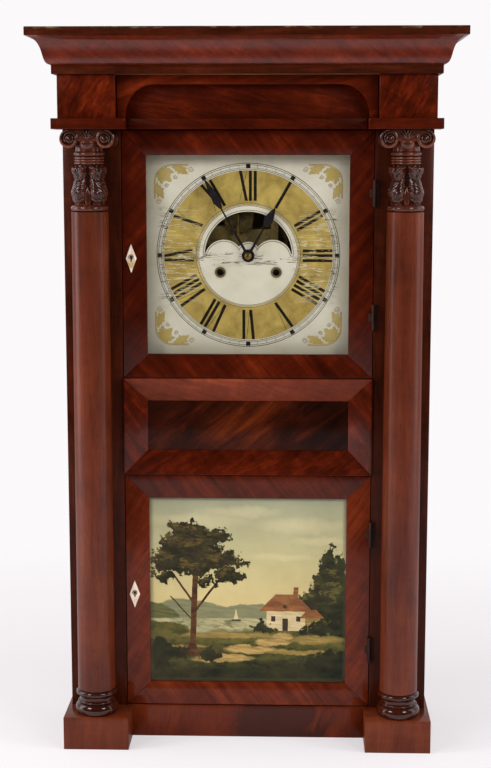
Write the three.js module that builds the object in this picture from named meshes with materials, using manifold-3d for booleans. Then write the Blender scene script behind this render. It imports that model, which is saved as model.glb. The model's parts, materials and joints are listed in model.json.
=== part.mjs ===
// Column-and-cornice shelf clock, three tiers high, with an eight-day weight-driven movement.
// Millimetres, +Z up, the dial faces -Y. Origin: middle of the base, on the surface it stands on.
// Every piece is drawn in the clock's own frame, whose Y is zero at the face of the stiles.
import * as THREE from 'three';
import { mergeVertices } from 'three/addons/utils/BufferGeometryUtils.js';
import Module from 'manifold-3d';

const wasm = await Module();
wasm.setup();

// Driving dimensions of the case
const overallHeight = 826;
const caseWidth = 420;
const sideThickness = 12;
const backThickness = 9;
const topBoardThickness = 10;
const bottomBoardThickness = 12;
const bottomBoardHeight = 24;
const stileWidth = 66;
const stileThickness = 14;
const glueLine = 0.1;
const doorGap = 0.8;
const cutOverrun = 2;
const weldTolerance = 0.0005;

// Cornice, frieze and ledges
const fasciaHeight = 9.3;
const cymaHeight = 30.1;
const filletHeight = 9.8;
const corniceProjection = 30.2;
const filletProjection = 5.2;
const cymaShares = [[0, 0], [0.507, 0], [0.121, 0.88], [1, 1]];
const friezeHeight = 47.9;
const friezeProjection = 36;
const ledgeHeight = 11.9;
const ledgeOverhang = 6.7;
const ledgeWidth = 82;
const blockWidth = 64;
const archBoardThickness = 10;
const archBoardSetback = 14;
const archMargin = 8.5;
const archRise = 37.5;
const archShoulder = 31.6;
const friezePanelThickness = 8;
const headRailProjection = 14;
const headRailHeight = 11.5;
const jointGap = 1;

// Base
const plinthHeight = 38.8;
const plinthProjection = 46;
const plinthWidth = 76.2;
const plinthSideOverhang = 4;

// Columns and capitals
const columnInset = 32.6;
const columnMargin = 1;
const shaftFootRadius = 22;
const shaftNeckRadius = 20.8;
const columnFacets = 18;
const torusRadius = 25.4;
const torusHeight = 12;
const baseFilletRadius = 22.6;
const baseFilletHeight = 2.2;
const smallTorusRadius = 23.6;
const smallTorusHeight = 5;
const scotiaRadius = 21.6;
const scotiaHeight = 3.6;
const ringRadius = 23.6;
const ringHeight = 6;
const capitalHeight = 91.4;
const astragalRadius = 21.2;
const astragalHeight = 8;
const leafZoneHeight = 44;
const neckBandRadius = 15;
const neckBandHeight = 8;
const echinusRadius = 19.6;
const echinusHeight = 5;
const leafBulge = 3.4;
const leafRimShare = 0.25;
const leafCount = 6;
const voluteRadius = 10.5;
const voluteSpread = 20.4;
const voluteEyeRadius = 5.2;
const voluteBand = 1.7;
const voluteRelief = 2;
const voluteSetback = 2.2;
const scrollWaistShare = 0.8;
const neckFilletHeight = 1;

// Doors and the middle panel
const upperDoorHeight = 282.3;
const middleHeight = 113;
const lowerDoorLift = 1.4;
const doorThickness = 15;
const doorRailWidth = 27.6;
const rebateWidth = 3.6;
const glassSetback = 5;
const glassThickness = 2.2;
const fitClearance = 0.3;
const middleRailWidth = 27.4;
const middleSplay = 12;
const middleLip = 2;
const middleProud = 3;
const middlePanelThickness = 5;
const escutcheonWidth = 12.4;
const escutcheonHeight = 33;
const escutcheonThickness = 1;
const escutcheonInset = 9.8;
const keyholeRadius = 1.7;
const keyholeSlotWidth = 1.6;
const keyholeSlotLength = 5.4;
const upperKeyDrop = 3.45;
const lowerKeyDrop = 4.35;

// Hinges
const hingePinRadius = 1.1;
const knuckleRadius = 2.1;
const hingeLength = 30;
const hingeLeafThickness = 0.7;
const hingeLeafDepth = 11;
const hingePlaceShare = 0.25;
const hingeFacets = 8;
const runningClearance = 0.05;

// Dial
const dialDrop = 1.25;
const dialFrontY = 22;
const dialThickness = 6.5;
const dialSideMargin = 3;
const dialEndMargin = 4.15;
const batWingRadius = 50.6;
const batWingLobeRadius = 22.4;
const batWingLobeX = 28.2;
const batWingLobeRise = 18;
const batWingCentreRise = 15.6;
const batWingCentreRadius = 12.6;
const batWingCuspRise = 7.4;
const batWingHorn = 1;
const windingX = 32.4;
const windingDrop = 19.4;
const windingHoleRadius = 4.2;
const dialCentreHoleRadius = 4.8;
const cleatWidth = 22;
const cleatLip = 13;
const cleatThickness = 7;

// Hands
const minuteHandMargin = 14.6;
const minuteHeadLength = 39;
const minuteHeadWidth = 9.2;
const minuteHandAngle = -29.7;
const hourHandLength = 63;
const hourHeadLength = 23.4;
const hourHeadWidth = 11;
const hourHandAngle = 29.5;
const handStemWidth = 3.2;
const handNeckWidth = 1.8;
const handThickness = 1.1;
const headShares = [[0.5, 0.05], [1, 0.25], [0.9, 0.6]];
const handPointShare = 0.5;
const hourBossRadius = 7.6;
const minuteBossRadius = 5;
const hourHandY = 16.6;
const minuteHandY = 12.9;
const centreArborRadius = 1.4;
const cannonPipeRadius = 2.5;
const hourPipeRadius = 3.9;
const endNutRadius = 4.3;
const endNutThickness = 1.5;
const pipeFacets = 10;

// Movement
const plateThickness = 2;
const plateHalfWidth = 70;
const plateBelowCentre = 49.8;
const plateAboveCentre = 82.2;
const plateWindowShares = [
  [0.49, 0.83, 0.36, 0.89],
  [0.06, 0.37, 0.6, 0.89],
  [-0.8, -0.37, 0.63, 0.89],
  [-0.24, 0.24, 0.04, 0.18],
  [0.61, 0.83, 0.05, 0.15],
];
const movementFoot = 12;
const pillarRadius = 3;
const lowerPillarInset = 4;
const upperPillarInset = 18;
const pillarInsetZ = 7;
const wheelThickness = 1.5;
const pinionMargin = 0.8;
const wheelHubRadius = 5;
const wheelRim = 2.4;
const greatHubRadius = 8;
const greatRim = 3;
const arborRadius = 1.4;
const pivotRadius = 0.9;
const pivotFacets = 6;
const addendumShare = 0.72;
const dedendumShare = 1.5;
const meshSlack = 0.12;
const hubPadShare = 0.4;
const thirdArborAngle = 121.5;
const pinWheelAngle = 117.6;
const studProud = 0.4;

// Gaps of the movement, one behind the other from the dial to the backboard
const pendulumGap = 3;
const crutchGap = 4.4;
const vergeHubLength = 2.4;
const escapeWheelSetback = 0.2;
const escapeWheelGap = 5.5;
const thirdWheelGap = 1.6;
const secondWheelGap = 1.1;
const centreWheelGap = 1.9;
const drumGap = 0.7;
const greatWheelGap = 1;
const backPlateGap = 4.6;
const cannonWheelGap = 4.1;
const hourWheelGap = 2.7;

// Tooth counts: the great arbor turns once in 42 hours, the escape arbor 76 times an hour
const greatTeeth = 56;
const secondPinionLeaves = 8;
const secondTeeth = 48;
const centrePinionLeaves = 8;
const centreTeeth = 64;
const thirdPinionLeaves = 8;
const thirdTeeth = 57;
const escapePinionLeaves = 6;
const escapeTeeth = 42;
const cannonLeaves = 12;
const minuteWheelTeeth = 36;
const minutePinionLeaves = 10;
const hourWheelTeeth = 40;
const pinWheelTeeth = 48;
const pinWheelPinionLeaves = 8;
const liftingPins = 8;

// Modules: tooth size of each mesh
const greatModule = 1.05;
const secondModule = 0.95;
const centreModule = 0.7425;
const thirdModule = 0.66;
const motionModule = 0.7;
const pinWheelModule = 0.875;

// Drums, weights, pulleys and cords
const drumRadius = 12;
const drumFlangeRadius = 17;
const drumFlangeThickness = 1.6;
const drumLength = 12;
const drumArborRadius = 3;
const drumArborProud = 3;
const squareSetback = 0.8;
const squareSeat = 1;
const windingSquareRadius = 2.6;
const cordRadius = 0.9;
const cordSeat = 0.45;
const weightWidth = 40;
const weightDepth = 46;
const weightHeight = 240;
const weightCorner = 6;
const weightLift = 4;
const weightInset = 26;
const weightEyeHeight = 11;
const weightEyeRadius = 5.5;
const weightEyeWire = 1.5;
const pulleyRadius = 12;
const pulleyGrooveRadius = 9.6;
const pulleyWidth = 5;
const pulleyAxleRadius = 1.5;
const pulleyDrop = 18;
const cheekThickness = 4;
const cheekMargin = 5;

// Escapement, pendulum and striking work
const escapeRadius = 19;
const escapeToothDepth = 2.6;
const verticalOffsetX = -12;
const palletSpanAngle = 45;
const swingLimit = 3;
const palletThickness = 0.7;
const palletLength = 5;
const vergeDepth = 2;
const vergeHubRadius = 3;
const vergeStripHalf = 0.9;
const crutchDrop = 31;
const crutchWire = 1.2;
const escapeHubRadius = 4;
const escapeRim = 2;
const escapeArborRadius = 1.1;
const suspensionStudRadius = 1.2;
const pendulumLength = 316;
const pendulumRodRadius = 1;
const pendulumEyeRadius = 2.6;
const pendulumEyeHalf = 1;
const bobRadius = 26;
const bobThickness = 12;
const bobProfileShares = [[0.5, 0.85], [0.85, 0.45]];
const bellRadius = 36;
const bellDepth = 24;
const bellWall = 2.4;
const bellStandOff = 12;
const bellDrop = 111.8;
const bellNut = 3;
const bellPostRadius = 4;
const hammerX = -60;
const hammerDrop = 37.3;
const hammerHeadRadius = 5;
const hammerHeadLength = 16;
const hammerGap = 0.8;
const hammerWireGap = 4;
const hammerWireRadius = 1;
const pinRadius = 0.9;
const pinLength = 3;
const pinInset = 3.4;
const pinRim = 4.6;
const tailWidth = 2.2;
const tailGap = 0.6;

// Places worked out from the sizes above
const halfWidth = caseWidth / 2;
const innerHalfWidth = halfWidth - sideThickness;
const stileInnerX = halfWidth - stileWidth;
const dialBackY = dialFrontY + dialThickness;
const pendulumY = dialBackY + pendulumGap;
const crutchY = pendulumY + crutchGap;
const vergeY = crutchY + vergeHubLength;
const escapeWheelY = vergeY + escapeWheelSetback;
const frontPlateY = escapeWheelY + escapeWheelGap;
const plateBackY = frontPlateY + plateThickness;
const thirdWheelY = plateBackY + thirdWheelGap;
const secondWheelY = thirdWheelY + wheelThickness + secondWheelGap;
const centreWheelY = secondWheelY + wheelThickness + centreWheelGap;
const drumY = centreWheelY + wheelThickness + drumGap + drumFlangeThickness;
const greatWheelY = drumY + drumLength + greatWheelGap;
const backPlateY = greatWheelY + 2 * wheelThickness + backPlateGap;
const cannonWheelY = frontPlateY - cannonWheelGap - wheelThickness;
const hourWheelY = cannonWheelY - hourWheelGap - wheelThickness;
const backFrontY = backPlateY + plateThickness + movementFoot;
const caseDepth = backFrontY + backThickness;
const cordY = (plateBackY + backPlateY) / 2;
const fasciaBottomZ = overallHeight - fasciaHeight;
const cymaBottomZ = fasciaBottomZ - cymaHeight;
const corniceBottomZ = cymaBottomZ - filletHeight;
const friezeBottomZ = corniceBottomZ - friezeHeight;
const ledgeBottomZ = friezeBottomZ - ledgeHeight;
const topBoardBottomZ = overallHeight - topBoardThickness;
const corniceFrontY = -(friezeProjection + corniceProjection);
const centreShiftY = -(caseDepth + corniceFrontY) / 2;
const columnCentreX = halfWidth - columnInset;
const columnCentreY = torusRadius + columnMargin - plinthProjection;
const voluteFrontY = voluteSetback - friezeProjection - ledgeOverhang;
const upperDoorTop = ledgeBottomZ - doorGap;
const upperDoorBottom = upperDoorTop - upperDoorHeight;
const middleTop = upperDoorBottom - doorGap;
const middleBottom = middleTop - middleHeight;
const lowerDoorTop = middleBottom - doorGap;
const lowerDoorBottom = plinthHeight + lowerDoorLift;
const sightHalfWidth = stileInnerX - doorGap - doorRailWidth;
const upperKeyZ = (upperDoorTop + upperDoorBottom) / 2 - upperKeyDrop;
const lowerKeyZ = (lowerDoorTop + lowerDoorBottom) / 2 - lowerKeyDrop;
const dialCentreZ = (upperDoorTop + upperDoorBottom) / 2 - dialDrop;
const dialHalfWidth = stileInnerX - dialSideMargin;
const dialHalfHeight = upperDoorHeight / 2 - dialEndMargin;
const windingZ = dialCentreZ - windingDrop;
const minuteHandLength = sightHalfWidth - minuteHandMargin;
const plateBottom = dialCentreZ - plateBelowCentre;
const plateTop = dialCentreZ + plateAboveCentre;
const weightRestZ = bottomBoardHeight + bottomBoardThickness + weightLift;
const weightCentreX = innerHalfWidth - weightInset;
const pulleyZ = topBoardBottomZ - pulleyDrop;
const cordReach = pulleyGrooveRadius + cordRadius + cordSeat;
const pulleyX = weightCentreX - cordReach;
const bellZ = dialCentreZ - bellDrop;
const hammerZ = dialCentreZ - hammerDrop;
const hammerWireY = backPlateY - hammerWireGap;

// Colours and finishes
const finish = (color, roughness, metalness = 0) => (
  new THREE.MeshStandardMaterial({ color, roughness, metalness })
);
const mahogany = finish(0x5c2112, 0.35);
const figuredMahogany = finish(0x6e2a12, 0.3);
const carvedMahogany = finish(0x4c1e14, 0.35);
const pine = finish(0xa98a5f, 0.8);
const brass = finish(0xa98b45, 0.35, 0.9);
const darkBrass = finish(0x4a3a22, 0.5, 0.8);
const steel = finish(0x6b6b70, 0.35, 0.9);
const bluedSteel = finish(0x15151c, 0.3, 0.7);
const castIron = finish(0x2e2c2a, 0.7, 0.6);
const bone = finish(0xd9cdb2, 0.5);
const clearGlass = finish(0xe8efec, 0.05);
const paintedGlass = finish(0x8fa0a0, 0.3);
const dialPaint = finish(0xd8d3bd, 0.5);
const hemp = finish(0x8a7a58, 0.9);

// Solids
function toSolid(geometry) {
  const bare = geometry.clone();
  bare.deleteAttribute('normal');
  bare.deleteAttribute('uv');
  const merged = mergeVertices(bare, weldTolerance);
  return new wasm.Manifold(new wasm.Mesh({
    numProp: 3,
    vertProperties: new Float32Array(merged.attributes.position.array),
    triVerts: new Uint32Array(merged.index.array),
  }));
}

function toGeometry(solid) {
  const mesh = solid.getMesh();
  const geometry = new THREE.BufferGeometry();
  const points = new Float32Array(mesh.vertProperties);
  geometry.setAttribute('position', new THREE.BufferAttribute(points, 3));
  geometry.setIndex(new THREE.BufferAttribute(new Uint32Array(mesh.triVerts), 1));
  geometry.computeVertexNormals();
  return geometry;
}

const joined = (...solids) => solids.reduce((sum, next) => sum.add(next));

// A box between two opposite corners.
function block(x0, x1, y0, y1, z0, z1) {
  const geometry = new THREE.BoxGeometry(x1 - x0, y1 - y0, z1 - z0);
  geometry.translate((x0 + x1) / 2, (y0 + y1) / 2, (z0 + z1) / 2);
  return toSolid(geometry);
}

// An outline drawn in X and Z, given thickness along Y.
function slab(shape, y0, y1, curveSegments = 8) {
  const geometry = new THREE.ExtrudeGeometry(shape, {
    depth: y1 - y0,
    bevelEnabled: false,
    curveSegments,
  });
  geometry.rotateX(Math.PI / 2);
  geometry.translate(0, y1, 0);
  return toSolid(geometry);
}

// An outline drawn in X and Y, given height along Z.
function prism(shape, z0, z1, curveSegments = 8) {
  const geometry = new THREE.ExtrudeGeometry(shape, {
    depth: z1 - z0,
    bevelEnabled: false,
    curveSegments,
  });
  geometry.translate(0, 0, z0);
  return toSolid(geometry);
}

// An outline drawn in Y and Z, run along X.
function moulding(shape, x0, x1) {
  const geometry = new THREE.ExtrudeGeometry(shape, { depth: x1 - x0, bevelEnabled: false });
  geometry.rotateY(Math.PI / 2);
  geometry.rotateX(Math.PI / 2);
  geometry.translate(x0, 0, 0);
  return toSolid(geometry);
}

const polygon = (points) => new THREE.Shape(points.map(([a, b]) => new THREE.Vector2(a, b)));

// A profile of [radius, height] pairs turned about the vertical through x, y.
function turnedUpright(profile, x, y, facets) {
  const points = profile.map(([radius, height]) => new THREE.Vector2(radius, height));
  const geometry = new THREE.LatheGeometry(points, facets);
  geometry.rotateX(Math.PI / 2);
  geometry.translate(x, y, 0);
  return toSolid(geometry);
}

// A profile of [radius, y] pairs turned about the line through x, z that runs front to back.
function turnedThrough(profile, x, z, facets, turn = 0) {
  const points = profile.map(([radius, y]) => new THREE.Vector2(radius, y));
  const geometry = new THREE.LatheGeometry(points, facets, turn);
  geometry.translate(x, 0, z);
  return toSolid(geometry);
}

const rod = (x, z, radius, y0, y1, facets = pivotFacets) => (
  turnedThrough([[0, y0], [radius, y0], [radius, y1], [0, y1]], x, z, facets)
);

// The radius across the corners that leaves a round shaft its running clearance.
const holeRadius = (shaftRadius, facets = pivotFacets) => (
  (shaftRadius + runningClearance) / Math.cos(Math.PI / facets)
);

const clock = new THREE.Group();
clock.position.y = centreShiftY;

function piece(name, material, solid) {
  const mesh = new THREE.Mesh(toGeometry(solid), material);
  mesh.name = name;
  clock.add(mesh);
  return mesh;
}

const mirrored = (solid) => solid.scale([-1, 1, 1]);

// A left piece and its mirror image on the right.
function pairOf(name, material, rightSolid) {
  piece('right_' + name, material, rightSolid);
  piece('left_' + name, material, mirrored(rightSolid));
}

// Case boards
function caseBoards() {
  pairOf('side', mahogany, block(
    innerHalfWidth, halfWidth, stileThickness + glueLine, caseDepth, 0, topBoardBottomZ - glueLine,
  ));
  piece('backboard', pine, block(
    -innerHalfWidth + glueLine, innerHalfWidth - glueLine,
    backFrontY, caseDepth, 0, topBoardBottomZ - glueLine,
  ));
  piece('bottom_board', pine, block(
    -innerHalfWidth + glueLine, innerHalfWidth - glueLine,
    stileThickness + glueLine, backFrontY - glueLine,
    bottomBoardHeight, bottomBoardHeight + bottomBoardThickness,
  ));
}

// Stiles, with the rebated cleats behind them that the dial rests against
function stiles() {
  const board = block(stileInnerX, halfWidth, 0, stileThickness, 0, corniceBottomZ - glueLine);
  const cleatFrontY = dialBackY + fitClearance;
  const cleatBackY = cleatFrontY + cleatThickness;
  const cleatOuterX = stileInnerX + cleatWidth;
  const cleat = prism(polygon([
    [stileInnerX + jointGap, stileThickness - glueLine],
    [cleatOuterX, stileThickness - glueLine],
    [cleatOuterX, cleatBackY],
    [stileInnerX + jointGap - cleatLip, cleatBackY],
    [stileInnerX + jointGap - cleatLip, cleatFrontY],
    [stileInnerX + jointGap, cleatFrontY],
  ]), dialCentreZ - dialHalfHeight, dialCentreZ + dialHalfHeight);
  pairOf('stile', mahogany, joined(board, cleat));
  piece('base_rail', figuredMahogany, block(
    -stileInnerX + glueLine, stileInnerX - glueLine, 0, stileThickness, 0, plinthHeight,
  ));
}

// Plinth block under each column, with its return along the side of the case
function plinths() {
  const outerX = halfWidth + plinthSideOverhang;
  pairOf('plinth', mahogany, prism(polygon([
    [outerX - plinthWidth, -plinthProjection],
    [outerX, -plinthProjection],
    [outerX, caseDepth],
    [halfWidth + glueLine, caseDepth],
    [halfWidth + glueLine, -glueLine],
    [outerX - plinthWidth, -glueLine],
  ]), 0, plinthHeight));
}

// Half-round profile points from one height to the next, bulging past the given radius
function torusPoints(radius, bottom, height, steps) {
  const points = [];
  for (let step = 0; step <= steps; step += 1) {
    const angle = -Math.PI / 2 + (Math.PI * step) / steps;
    const half = height / 2;
    points.push([radius - half + half * Math.cos(angle), bottom + half + half * Math.sin(angle)]);
  }
  return points;
}

// Turned column with a moulded foot, flattened where it stands against the stile
function columns() {
  const footZ = plinthHeight + glueLine;
  const capitalBottomZ = ledgeBottomZ - capitalHeight;
  const filletZ = footZ + torusHeight;
  const smallTorusZ = filletZ + baseFilletHeight;
  const scotiaZ = smallTorusZ + smallTorusHeight;
  const ringZ = scotiaZ + scotiaHeight;
  const shaftZ = ringZ + ringHeight;
  const profile = [
    [0, footZ],
    ...torusPoints(torusRadius, footZ, torusHeight, 4),
    [baseFilletRadius, filletZ],
    [baseFilletRadius, smallTorusZ],
    ...torusPoints(smallTorusRadius, smallTorusZ, smallTorusHeight, 2),
    [scotiaRadius, scotiaZ + scotiaHeight / 2],
    ...torusPoints(ringRadius, ringZ, ringHeight, 2),
    [shaftFootRadius, shaftZ],
    [shaftNeckRadius, capitalBottomZ - glueLine],
    [0, capitalBottomZ - glueLine],
  ];
  const turned = turnedUpright(profile, columnCentreX, columnCentreY, columnFacets);
  const stile = block(
    columnCentreX - 2 * torusRadius, columnCentreX + 2 * torusRadius,
    -glueLine, 2 * torusRadius, 0, overallHeight,
  );
  pairOf('column', figuredMahogany, turned.subtract(stile));
}

// Closed skin about the column's centre line from rows of [radius, height, leaf depth]; where a
// row has leaf depth, its radius swells once for each leaf
function leafySkin(rows, around) {
  const points = [];
  const faces = [];
  for (const [radius, z, leafDepth = 0] of rows) {
    for (let step = 0; step < around; step += 1) {
      const angle = (2 * Math.PI * step) / around;
      const lobe = Math.abs(Math.sin((leafCount * angle) / 2));
      const reach = radius + leafDepth * lobe;
      points.push(columnCentreX + reach * Math.sin(angle), columnCentreY + reach * Math.cos(angle), z);
    }
  }
  const last = points.length / 3;
  const rings = rows.length - 1;
  points.push(columnCentreX, columnCentreY, rows[0][1]);
  points.push(columnCentreX, columnCentreY, rows[rings][1]);
  for (let step = 0; step < around; step += 1) {
    const next = (step + 1) % around;
    faces.push(step, next, last);
    faces.push(rings * around + next, rings * around + step, last + 1);
    for (let ring = 0; ring < rings; ring += 1) {
      const a = ring * around + step;
      const b = ring * around + next;
      faces.push(a, a + around, b);
      faces.push(b, a + around, b + around);
    }
  }
  const geometry = new THREE.BufferGeometry();
  geometry.setAttribute('position', new THREE.Float32BufferAttribute(points, 3));
  geometry.setIndex(faces);
  return toSolid(geometry);
}

// Spiral band of a volute, from the top of the scroll round and in to its eye
function voluteBandShape(x, z, handed) {
  const steps = 9;
  const turns = 1.2;
  const outer = [];
  const inner = [];
  for (let step = 0; step <= steps; step += 1) {
    const share = step / steps;
    const angle = Math.PI / 2 - handed * turns * 2 * Math.PI * share;
    const radius = voluteRadius + (voluteEyeRadius - voluteRadius) * share;
    const band = voluteBand * (1 - share / 2);
    outer.push([x + radius * Math.cos(angle), z + radius * Math.sin(angle)]);
    inner.unshift([x + (radius - band) * Math.cos(angle), z + (radius - band) * Math.sin(angle)]);
  }
  const points = [...outer, ...inner];
  return polygon(points);
}

// Capital: astragal, leafy bell, plain band, echinus and a pair of scrolls under the ledge
function capitals() {
  const bottomZ = ledgeBottomZ - capitalHeight;
  const topZ = ledgeBottomZ - glueLine;
  const leafBottomZ = bottomZ + astragalHeight;
  const bandZ = leafBottomZ + leafZoneHeight;
  const echinusZ = bandZ + neckBandHeight;
  const echinusTop = echinusZ + echinusHeight;
  const leafCoreRadius = shaftNeckRadius - leafBulge;
  const leafRows = [];
  const leafSteps = 6;
  for (let step = 0; step <= leafSteps; step += 1) {
    const share = step / leafSteps;
    const core = leafCoreRadius + (neckBandRadius - leafCoreRadius) * share;
    const swell = Math.abs(Math.sin(2 * Math.PI * share));
    leafRows.push([core, leafBottomZ + leafZoneHeight * share, leafBulge * (leafRimShare + swell)]);
  }
  const core = leafySkin([
    ...torusPoints(astragalRadius, bottomZ, astragalHeight, 2),
    ...leafRows,
    [neckBandRadius, bandZ + neckFilletHeight],
    [neckBandRadius, echinusZ],
    [echinusRadius, echinusZ + echinusHeight / 2],
    [echinusRadius, echinusTop],
    [echinusRadius - leafBulge, echinusTop + echinusHeight],
    [echinusRadius - leafBulge, topZ],
  ], leafCount * 3);
  const scrollZ = topZ - voluteRadius;
  const bodies = [core];
  for (const handed of [1, -1]) {
    const scrollX = columnCentreX + handed * voluteSpread;
    const waist = voluteRadius * scrollWaistShare;
    bodies.push(turnedThrough([
      [0, voluteFrontY + voluteRelief],
      [voluteRadius - glueLine, voluteFrontY + voluteRelief],
      [waist, columnCentreY],
      [voluteRadius - glueLine, -glueLine],
      [0, -glueLine],
    ], scrollX, scrollZ, 10));
    bodies.push(slab(
      voluteBandShape(scrollX, scrollZ, handed), voluteFrontY, voluteFrontY + voluteRelief + glueLine,
    ));
    bodies.push(rod(
      scrollX, scrollZ, voluteEyeRadius, voluteFrontY, voluteFrontY + voluteRelief + glueLine, 8,
    ));
  }
  bodies.push(block(
    columnCentreX - voluteSpread, columnCentreX + voluteSpread,
    voluteFrontY + 2 * voluteRelief, -glueLine, scrollZ, topZ,
  ));
  const whole = joined(...bodies);
  const stile = block(
    columnCentreX - 2 * torusRadius, columnCentreX + 2 * torusRadius,
    -glueLine, 2 * torusRadius, 0, overallHeight,
  );
  pairOf('capital', carvedMahogany, whole.subtract(stile));
}

// Ledge over each capital and the veneered block above it
function entablature() {
  const outerX = halfWidth + ledgeOverhang;
  pairOf('ledge', mahogany, block(
    outerX - ledgeWidth, outerX, -(friezeProjection + ledgeOverhang), -glueLine,
    ledgeBottomZ, friezeBottomZ - glueLine,
  ));
  pairOf('frieze_block', figuredMahogany, block(
    halfWidth - blockWidth, halfWidth, -friezeProjection, -glueLine,
    friezeBottomZ, corniceBottomZ - glueLine,
  ));
  const railHalf = stileInnerX - glueLine;
  const rail = block(
    -railHalf, railHalf, -headRailProjection, stileThickness,
    friezeBottomZ - headRailHeight, friezeBottomZ - glueLine,
  );
  const ledgeInnerX = outerX - ledgeWidth - jointGap;
  const ledgeNotch = block(
    ledgeInnerX, railHalf + cutOverrun, -headRailProjection - cutOverrun, 0,
    ledgeBottomZ - cutOverrun, friezeBottomZ,
  );
  const panelHalf = halfWidth - blockWidth - jointGap;
  const panelUp = block(
    -panelHalf, panelHalf, -friezePanelThickness, -glueLine,
    friezeBottomZ - 2 * glueLine, corniceBottomZ - glueLine,
  );
  piece('frieze_rail', figuredMahogany, joined(rail, panelUp)
    .subtract(ledgeNotch).subtract(mirrored(ledgeNotch)));

  const archFrontY = -(friezeProjection - archBoardSetback);
  const archBackY = archFrontY + archBoardThickness;
  const springX = panelHalf - archMargin;
  const shoulderX = springX - archShoulder;
  const crownZ = friezeBottomZ + archRise;
  const topZ = corniceBottomZ - glueLine;
  const shape = new THREE.Shape();
  shape.moveTo(-panelHalf, friezeBottomZ);
  shape.lineTo(-springX, friezeBottomZ);
  shape.absellipse(-shoulderX, friezeBottomZ, archShoulder, archRise, Math.PI, Math.PI / 2, true);
  shape.lineTo(shoulderX, crownZ);
  shape.absellipse(shoulderX, friezeBottomZ, archShoulder, archRise, Math.PI / 2, 0, true);
  shape.lineTo(panelHalf, friezeBottomZ);
  shape.lineTo(panelHalf, topZ);
  shape.lineTo(-panelHalf, topZ);
  const board = slab(shape, archFrontY, archBackY, 10);
  const packing = block(
    -panelHalf, panelHalf, archBackY - glueLine, -friezePanelThickness - glueLine,
    (crownZ + topZ) / 2, topZ,
  );
  piece('frieze_arch', mahogany, joined(board, packing));
}

// Offset of the cornice face from the frieze, as a list of [projection, height] points
function corniceProfile() {
  const reach = corniceProjection - filletProjection;
  const curve = new THREE.CubicBezierCurve(...cymaShares.map(([out, up]) => (
    new THREE.Vector2(filletProjection + reach * out, cymaBottomZ + cymaHeight * up)
  )));
  return [
    [filletProjection, corniceBottomZ],
    ...curve.getPoints(9).map((point) => [point.x, point.y]),
    [corniceProjection, overallHeight],
  ];
}

// Cornice: fillet, cyma and fascia mitred round the front and both sides
function cornice() {
  const profile = corniceProfile();
  const front = moulding(polygon([
    ...profile.map(([out, z]) => [-friezeProjection - out, z]),
    [caseDepth, overallHeight],
    [caseDepth, corniceBottomZ],
  ]), -caseWidth, caseWidth);
  const across = slab(polygon([
    ...profile.map(([out, z]) => [halfWidth + out, z]),
    ...profile.map(([out, z]) => [-halfWidth - out, z]).reverse(),
  ]), -caseWidth, caseDepth);
  const inside = block(
    -halfWidth - glueLine, halfWidth + glueLine,
    stileThickness + glueLine, caseDepth + cutOverrun,
    corniceBottomZ - cutOverrun, overallHeight + cutOverrun,
  );
  piece('cornice', mahogany, front.intersect(across).subtract(inside));
}

// Rectangular frame with a rebate behind its opening for a pane
function doorFrame(bottomZ, topZ) {
  const halfOut = stileInnerX - doorGap;
  const halfIn = halfOut - doorRailWidth;
  const outer = block(-halfOut, halfOut, 0, doorThickness, bottomZ, topZ);
  const sight = block(
    -halfIn, halfIn, -cutOverrun, doorThickness + cutOverrun,
    bottomZ + doorRailWidth, topZ - doorRailWidth,
  );
  const rebate = block(
    -halfIn - rebateWidth, halfIn + rebateWidth, glassSetback, doorThickness + cutOverrun,
    bottomZ + doorRailWidth - rebateWidth, topZ - doorRailWidth + rebateWidth,
  );
  return outer.subtract(sight).subtract(rebate);
}

function doorPane(bottomZ, topZ) {
  const halfOut = stileInnerX - doorGap - doorRailWidth + rebateWidth - fitClearance;
  const trim = doorRailWidth - rebateWidth + fitClearance;
  return block(
    -halfOut, halfOut, glassSetback + glueLine, glassSetback + glueLine + glassThickness,
    bottomZ + trim, topZ - trim,
  );
}

// Diamond escutcheon with its keyhole, laid on the lock side of a door
function escutcheon(keyZ) {
  const x = -(stileInnerX - doorGap - escutcheonInset);
  const lozenge = polygon([
    [x, keyZ - escutcheonHeight / 2],
    [x + escutcheonWidth / 2, keyZ],
    [x, keyZ + escutcheonHeight / 2],
    [x - escutcheonWidth / 2, keyZ],
  ]);
  const keyhole = new THREE.Path();
  keyhole.absarc(x, keyZ + keyholeRadius, keyholeRadius, 0, 2 * Math.PI);
  const plate = slab(lozenge, -escutcheonThickness - glueLine, -glueLine);
  const eye = slab(
    new THREE.Shape(keyhole.getPoints(5)), -escutcheonThickness - cutOverrun, cutOverrun,
  );
  const slot = block(
    x - keyholeSlotWidth / 2, x + keyholeSlotWidth / 2,
    -escutcheonThickness - cutOverrun, cutOverrun,
    keyZ + keyholeRadius - keyholeSlotLength, keyZ + keyholeRadius,
  );
  return plate.subtract(eye).subtract(slot);
}

const hingeX = stileInnerX - doorGap / 2;
const hingeY = -knuckleRadius - fitClearance;
const knuckleGap = fitClearance;

// Knuckle of a hinge between two heights, with a bore when the pin only passes through it
function knuckle(z0, z1, boreRadius) {
  const inner = boreRadius ?? 0;
  const profile = [[inner, z0], [knuckleRadius, z0], [knuckleRadius, z1], [inner, z1]];
  if (inner) profile.push([inner, z0]);
  return turnedUpright(profile, hingeX, hingeY, hingeFacets);
}

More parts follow.
